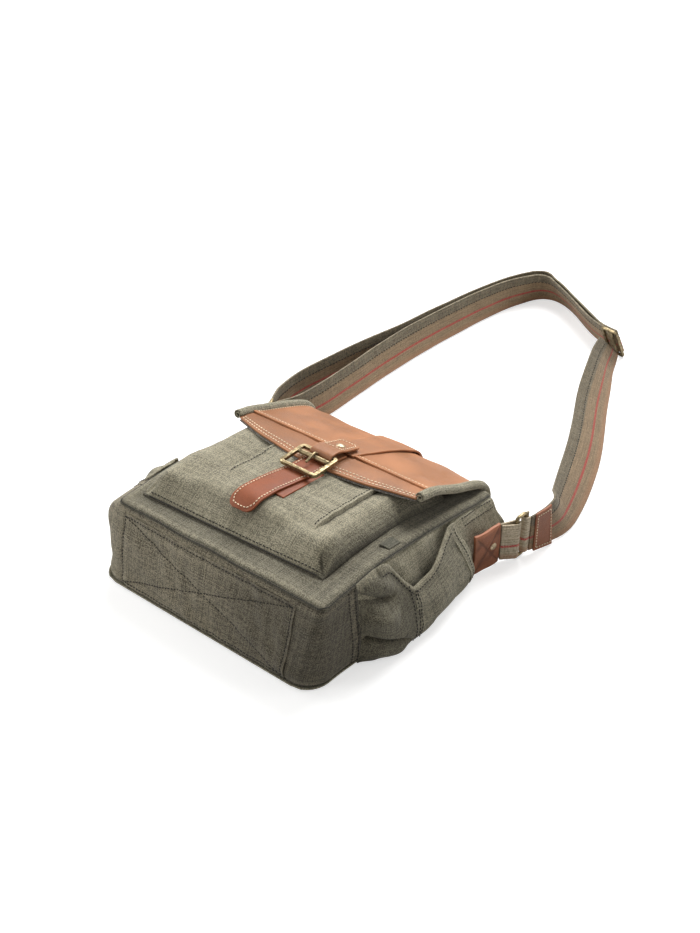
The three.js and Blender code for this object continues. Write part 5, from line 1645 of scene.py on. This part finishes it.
class BAG_OT_shoulder_strap(bpy.types.Operator):
    """Shoulder strap of webbing on canvas, with its fold, its sewn end and its leather patch"""

    bl_idname = "bag.shoulder_strap"
    bl_label = "Shoulder strap"

    def execute(self, context):
        sewing = Sewing("strap_stitches", "Dark thread", "webbing")
        seam = [(a, STRAP_SEAM / STRAP_WIDTH) for a in np.linspace(0.01, 0.99, 80)]
        for name, route, seed, cut, tone in STRAP_RUNS:
            wall = strap_wall(route, seed, cut)
            columns = int(strap_line(route)[0] / STRAP_COLUMN)
            cloth_piece(f"strap_{name}_run", wall, (columns, 20), "laid", "floor", lambda a, b: tone,
                        ["Strap webbing", "Canvas"], "webbing", back_slot=1)
            for face in (wall, wall.turned_over()):
                sewing.row(face, seam, lift=0.3, pitch=4.2)
        sewing.sew(3.0)
        self.loops()
        patch = strap_patch_wall()
        leather_piece("strap_patch", patch, (24, 30), strap_patch_wear, "Anchor leather", "strap_leather")
        cream = Sewing("strap_patch_stitches", "Cream thread", "strap_leather")
        cream.row(patch, [(0.1, 0.08), (0.9, 0.08), (0.9, 0.92), (0.1, 0.92), (0.1, 0.08)], pitch=3.0)
        cream.sew(2.2)
        return {"FINISHED"}

    def loops(self):
        """The strap's fold round the left ring, and its sewn end round the right one."""
        (far_x, far_y, *_), (near_x, near_y, *_) = FAR_ROUTE[-1], NEAR_ROUTE[0]
        first_x, first_y, *_ = RIGHT_ROUTE[0]
        left_bar, right_bar = RING_BARS["left"][1], RING_BARS["right"][1]
        fold_wall = loop_wall((far_x, far_y - 0.2), left_bar, (near_x, near_y - 0.2), 3.3, 1.8)
        loop_piece("strap_fold", fold_wall, "strap_ring_left")
        sewn_end = (right_bar[0] - 1.7, right_bar[1] + 8)
        end_wall = loop_wall((first_x - 0.1, first_y - 0.2), right_bar, sewn_end, 3.1, 1.6)
        loop_piece("strap_end_loop", end_wall, "strap_ring_right")


def anchor_place(side, y, z):
    share = (y - ANCHOR_LOW) / (ANCHOR_HIGH - ANCHOR_LOW)
    return points(side * (ANCHOR_X + ANCHOR_SPREAD * share), y, z)


def anchor_cross(a, b):
    """Distance from the crossed lines that are pressed into an anchor's leather."""
    slant = math.hypot(ANCHOR_LONG, ANCHOR_TALL)
    return np.minimum(np.abs(a - b), np.abs(a + b - 1)) * ANCHOR_LONG * ANCHOR_TALL / slant


def anchor_wall(side):
    def place(a, b):
        y = mix(ANCHOR_LOW, ANCHOR_HIGH, towards(side, a))
        return anchor_place(side, y, mix(ANCHOR_FOOT_Z, ANCHOR_TOP_Z, b))

    def relief(a, b):
        return 0.5 * ripple(ANCHOR_LONG * a, ANCHOR_TALL * b, 25, 7) + seam_dip(anchor_cross(a, b), 0.6, 1.4)

    return Wall(place, relief, thickness=3.0)


def anchor_wear(a, b):
    """Pale along the top edge and the ends, soiled in patches and dark in the pressed lines."""
    edges = 1.5 * bell((1 - b) * ANCHOR_TALL, 3.5) + 0.4 * bell(from_ends(a) * 35, 1.6)
    soil = 0.12 + 0.7 * np.maximum(ripple(ANCHOR_LONG * a, ANCHOR_TALL * b, 18, 9), 0)
    return edges - soil - 0.9 * bell(anchor_cross(a, b), 1.3)


class BAG_OT_strap_anchors(bpy.types.Operator):
    """Leather anchors with their rivets, webbing loops and brass rings at both sides"""

    bl_idname = "bag.strap_anchors"
    bl_label = "Strap anchors"

    def execute(self, context):
        for name, side in SIDES.items():
            leather_piece(f"strap_anchor_{name}", anchor_wall(side), (30, 34), anchor_wear, "Anchor leather",
                          "strap_leather", rim=0.8)
            seat = anchor_place(side, ANCHOR_RIVET_Y, ANCHOR_RIVET_Z)
            root = anchor_place(side, ANCHOR_HIGH, ANCHOR_RIVET_Z)
            ahead = unit(root - seat)
            outward = np.array([side * ahead[1], -side * ahead[0], 0])
            rivet(f"anchor_rivet_{name}_brass", seat + outward * 1.6, outward,
                  ANCHOR_RIVET_RADIUS, ANCHOR_RIVET_RISE)
            start, end = (root[0] + side * 1.2, root[1] + 0.4), (root[0] - side * 1.4, root[1] + 0.8)
            loop = loop_wall(start, RING_BARS[name][0], end, 3.1, 1.6)
            loop_piece(f"ring_loop_{name}", loop, f"strap_ring_{name}")
            self.ring(name)
        return {"FINISHED"}

    def ring(self, name):
        """A rectangular ring of round wire: a torus drawn out to its corners."""
        deselect()
        tube = 0.25
        bpy.ops.mesh.primitive_torus_add(
            major_segments=72, minor_segments=14, major_radius=1, minor_radius=tube)
        piece = begin(f"strap_ring_{name}_brass")
        near, far = (np.array([*bar, 0.0]) for bar in RING_BARS[name])
        up = np.array([0, 0, 1.0])
        along, wide = unit(far - near), np.linalg.norm(far - near) - 2 * RING_CORNER
        across, tall = np.cross(along, up), RING_HIGH_Z - RING_LOW_Z - 2 * RING_CORNER
        middle = (near + far) / 2 + up * (RING_LOW_Z + RING_HIGH_Z) / 2
        arc, wire = RING_CORNER * math.pi / 2, size("ring_wire")
        stops = np.cumsum([0, tall / 2, arc, wide, arc, tall, arc, wide, arc, tall / 2])
        turns = np.array([0, 0, 1, 1, 2, 2, 3, 3, 4, 4]) * math.pi / 2
        corners_x = np.array([1, 1, 1, -1, -1, -1, -1, 1, 1, 1]) * wide / 2
        corners_z = np.array([0, 1, 1, 1, 1, -1, -1, -1, -1, 0]) * tall / 2

        def place(local):
            x, y, z = local.T
            at = (np.arctan2(y, x) / (2 * math.pi)) % 1 * stops[-1]
            turn = np.interp(at, stops, turns)
            out = (np.hypot(x, y) - 1) / tube * wire + RING_CORNER
            flat_x = np.interp(at, stops, corners_x) + out * np.cos(turn)
            flat_z = np.interp(at, stops, corners_z) + out * np.sin(turn)
            depth = z / tube * wire
            return middle + along * flat_x[:, None] + up * flat_z[:, None] + across * depth[:, None]

        move_mesh(piece, place)
        edit(piece, bpy.ops.mesh.normals_make_consistent, inside=False)
        bpy.ops.object.shade_smooth()
        settle(piece, ["Antique brass"], "brass", f"strap_ring_{name}")


class BAG_OT_strap_slider(bpy.types.Operator):
    """Brass slider that sets the strap's length"""

    bl_idname = "bag.strap_slider"
    bl_label = "Strap slider"

    def execute(self, context):
        piece = rounded_frame("strap_slider_brass", SLIDER_LONG, SLIDER_TALL, SLIDER_CORNER, 2, SLIDER_BAR,
                              SLIDER_THICK, SLIDER_SOFT)
        turn, tilt = math.radians(SLIDER_TURN), math.radians(SLIDER_LEAN)
        along = np.array([math.cos(turn), math.sin(turn), 0])
        up = np.array([-along[1] * math.sin(tilt), along[0] * math.sin(tilt), math.cos(tilt)])
        middle = np.array([SLIDER_X, SLIDER_Y, SLIDER_Z]) + up * SLIDER_TALL / 2
        axes = np.array([along, up, np.cross(along, up)])
        move_mesh(piece, lambda local: middle + local @ axes, MM)
        edit(piece, bpy.ops.mesh.normals_make_consistent, inside=False)
        shade_by_angle()
        settle(piece, ["Antique brass"], "brass", "strap_slider")
        return {"FINISHED"}


class BAG_OT_stage(bpy.types.Operator):
    """Camera, floor and soft studio light"""

    bl_idname = "bag.stage"
    bl_label = "Stage"

    def execute(self, context):
        azimuth, elevation = math.radians(CAMERA_AZIMUTH), math.radians(CAMERA_ELEVATION)
        level = math.cos(elevation)
        back = Vector((math.sin(azimuth) * level, -math.cos(azimuth) * level, math.sin(elevation)))
        lens = bpy.data.cameras.new("Camera")
        lens.lens, lens.sensor_width, lens.sensor_fit = CAMERA_LENS, CAMERA_SENSOR, "HORIZONTAL"
        context.scene.camera = self.aimed("Camera", lens, CAMERA_TARGET + back * CAMERA_DISTANCE, -back)
        deselect()
        bpy.ops.mesh.primitive_plane_add(size=12)
        floor = begin("floor")
        floor.data.materials.append(finish("Studio floor"))
        for name, place, size_across, power in LAMPS:
            light = bpy.data.lights.new(name, "AREA")
            light.shape, light.size, light.energy = "DISK", size_across, power
            self.aimed(name, light, Vector(place), LAMP_AIM - Vector(place))
        sky = bpy.data.worlds.new("Studio")
        sky.use_nodes = True
        sky.node_tree.nodes["Background"].inputs["Color"].default_value = (1, 0.97, 0.9, 1)
        sky.node_tree.nodes["Background"].inputs["Strength"].default_value = 0.24
        context.scene.world = sky
        context.scene.view_settings.view_transform = "Standard"
        return {"FINISHED"}

    def aimed(self, name, data, place, way):
        """Puts a camera or a lamp at its place, looking its way."""
        made = bpy.data.objects.new(name, data)
        bpy.context.scene.collection.objects.link(made)
        made.location = place
        made.rotation_mode = "QUATERNION"
        made.rotation_quaternion = way.to_track_quat("-Z", "Y")
        return made


OPERATORS = (
    BAG_OT_stage, BAG_OT_body, BAG_OT_base, BAG_OT_side_pockets, BAG_OT_front_pocket, BAG_OT_flap,
    BAG_OT_flap_rolls, BAG_OT_closure, BAG_OT_buckle, BAG_OT_shoulder_strap, BAG_OT_strap_anchors,
    BAG_OT_strap_slider,
)


class VIEW3D_PT_bag(bpy.types.Panel):
    """Sizes, colours and pieces of the bag"""

    bl_label = "Canvas shoulder bag"
    bl_space_type = "VIEW_3D"
    bl_region_type = "UI"
    bl_category = "Bag"

    def draw(self, context):
        for group in (context.scene.bag_sizes, context.scene.bag_colours):
            for key in group.__annotations__:
                self.layout.prop(group, key)
        for operator in OPERATORS:
            self.layout.operator(operator.bl_idname)


CLASSES = (BagSizes, BagColours, *OPERATORS, VIEW3D_PT_bag)


def register():
    for made in CLASSES:
        bpy.utils.register_class(made)
    bpy.types.Scene.bag_sizes = bpy.props.PointerProperty(type=BagSizes)
    bpy.types.Scene.bag_colours = bpy.props.PointerProperty(type=BagColours)


def unregister():
    del bpy.types.Scene.bag_colours
    del bpy.types.Scene.bag_sizes
    for made in reversed(CLASSES):
        bpy.utils.unregister_class(made)


def main():
    register()
    for operator in OPERATORS:
        family, name = operator.bl_idname.split(".")
        getattr(getattr(bpy.ops, family), name)()
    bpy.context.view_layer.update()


if __name__ == "__main__":
    main()
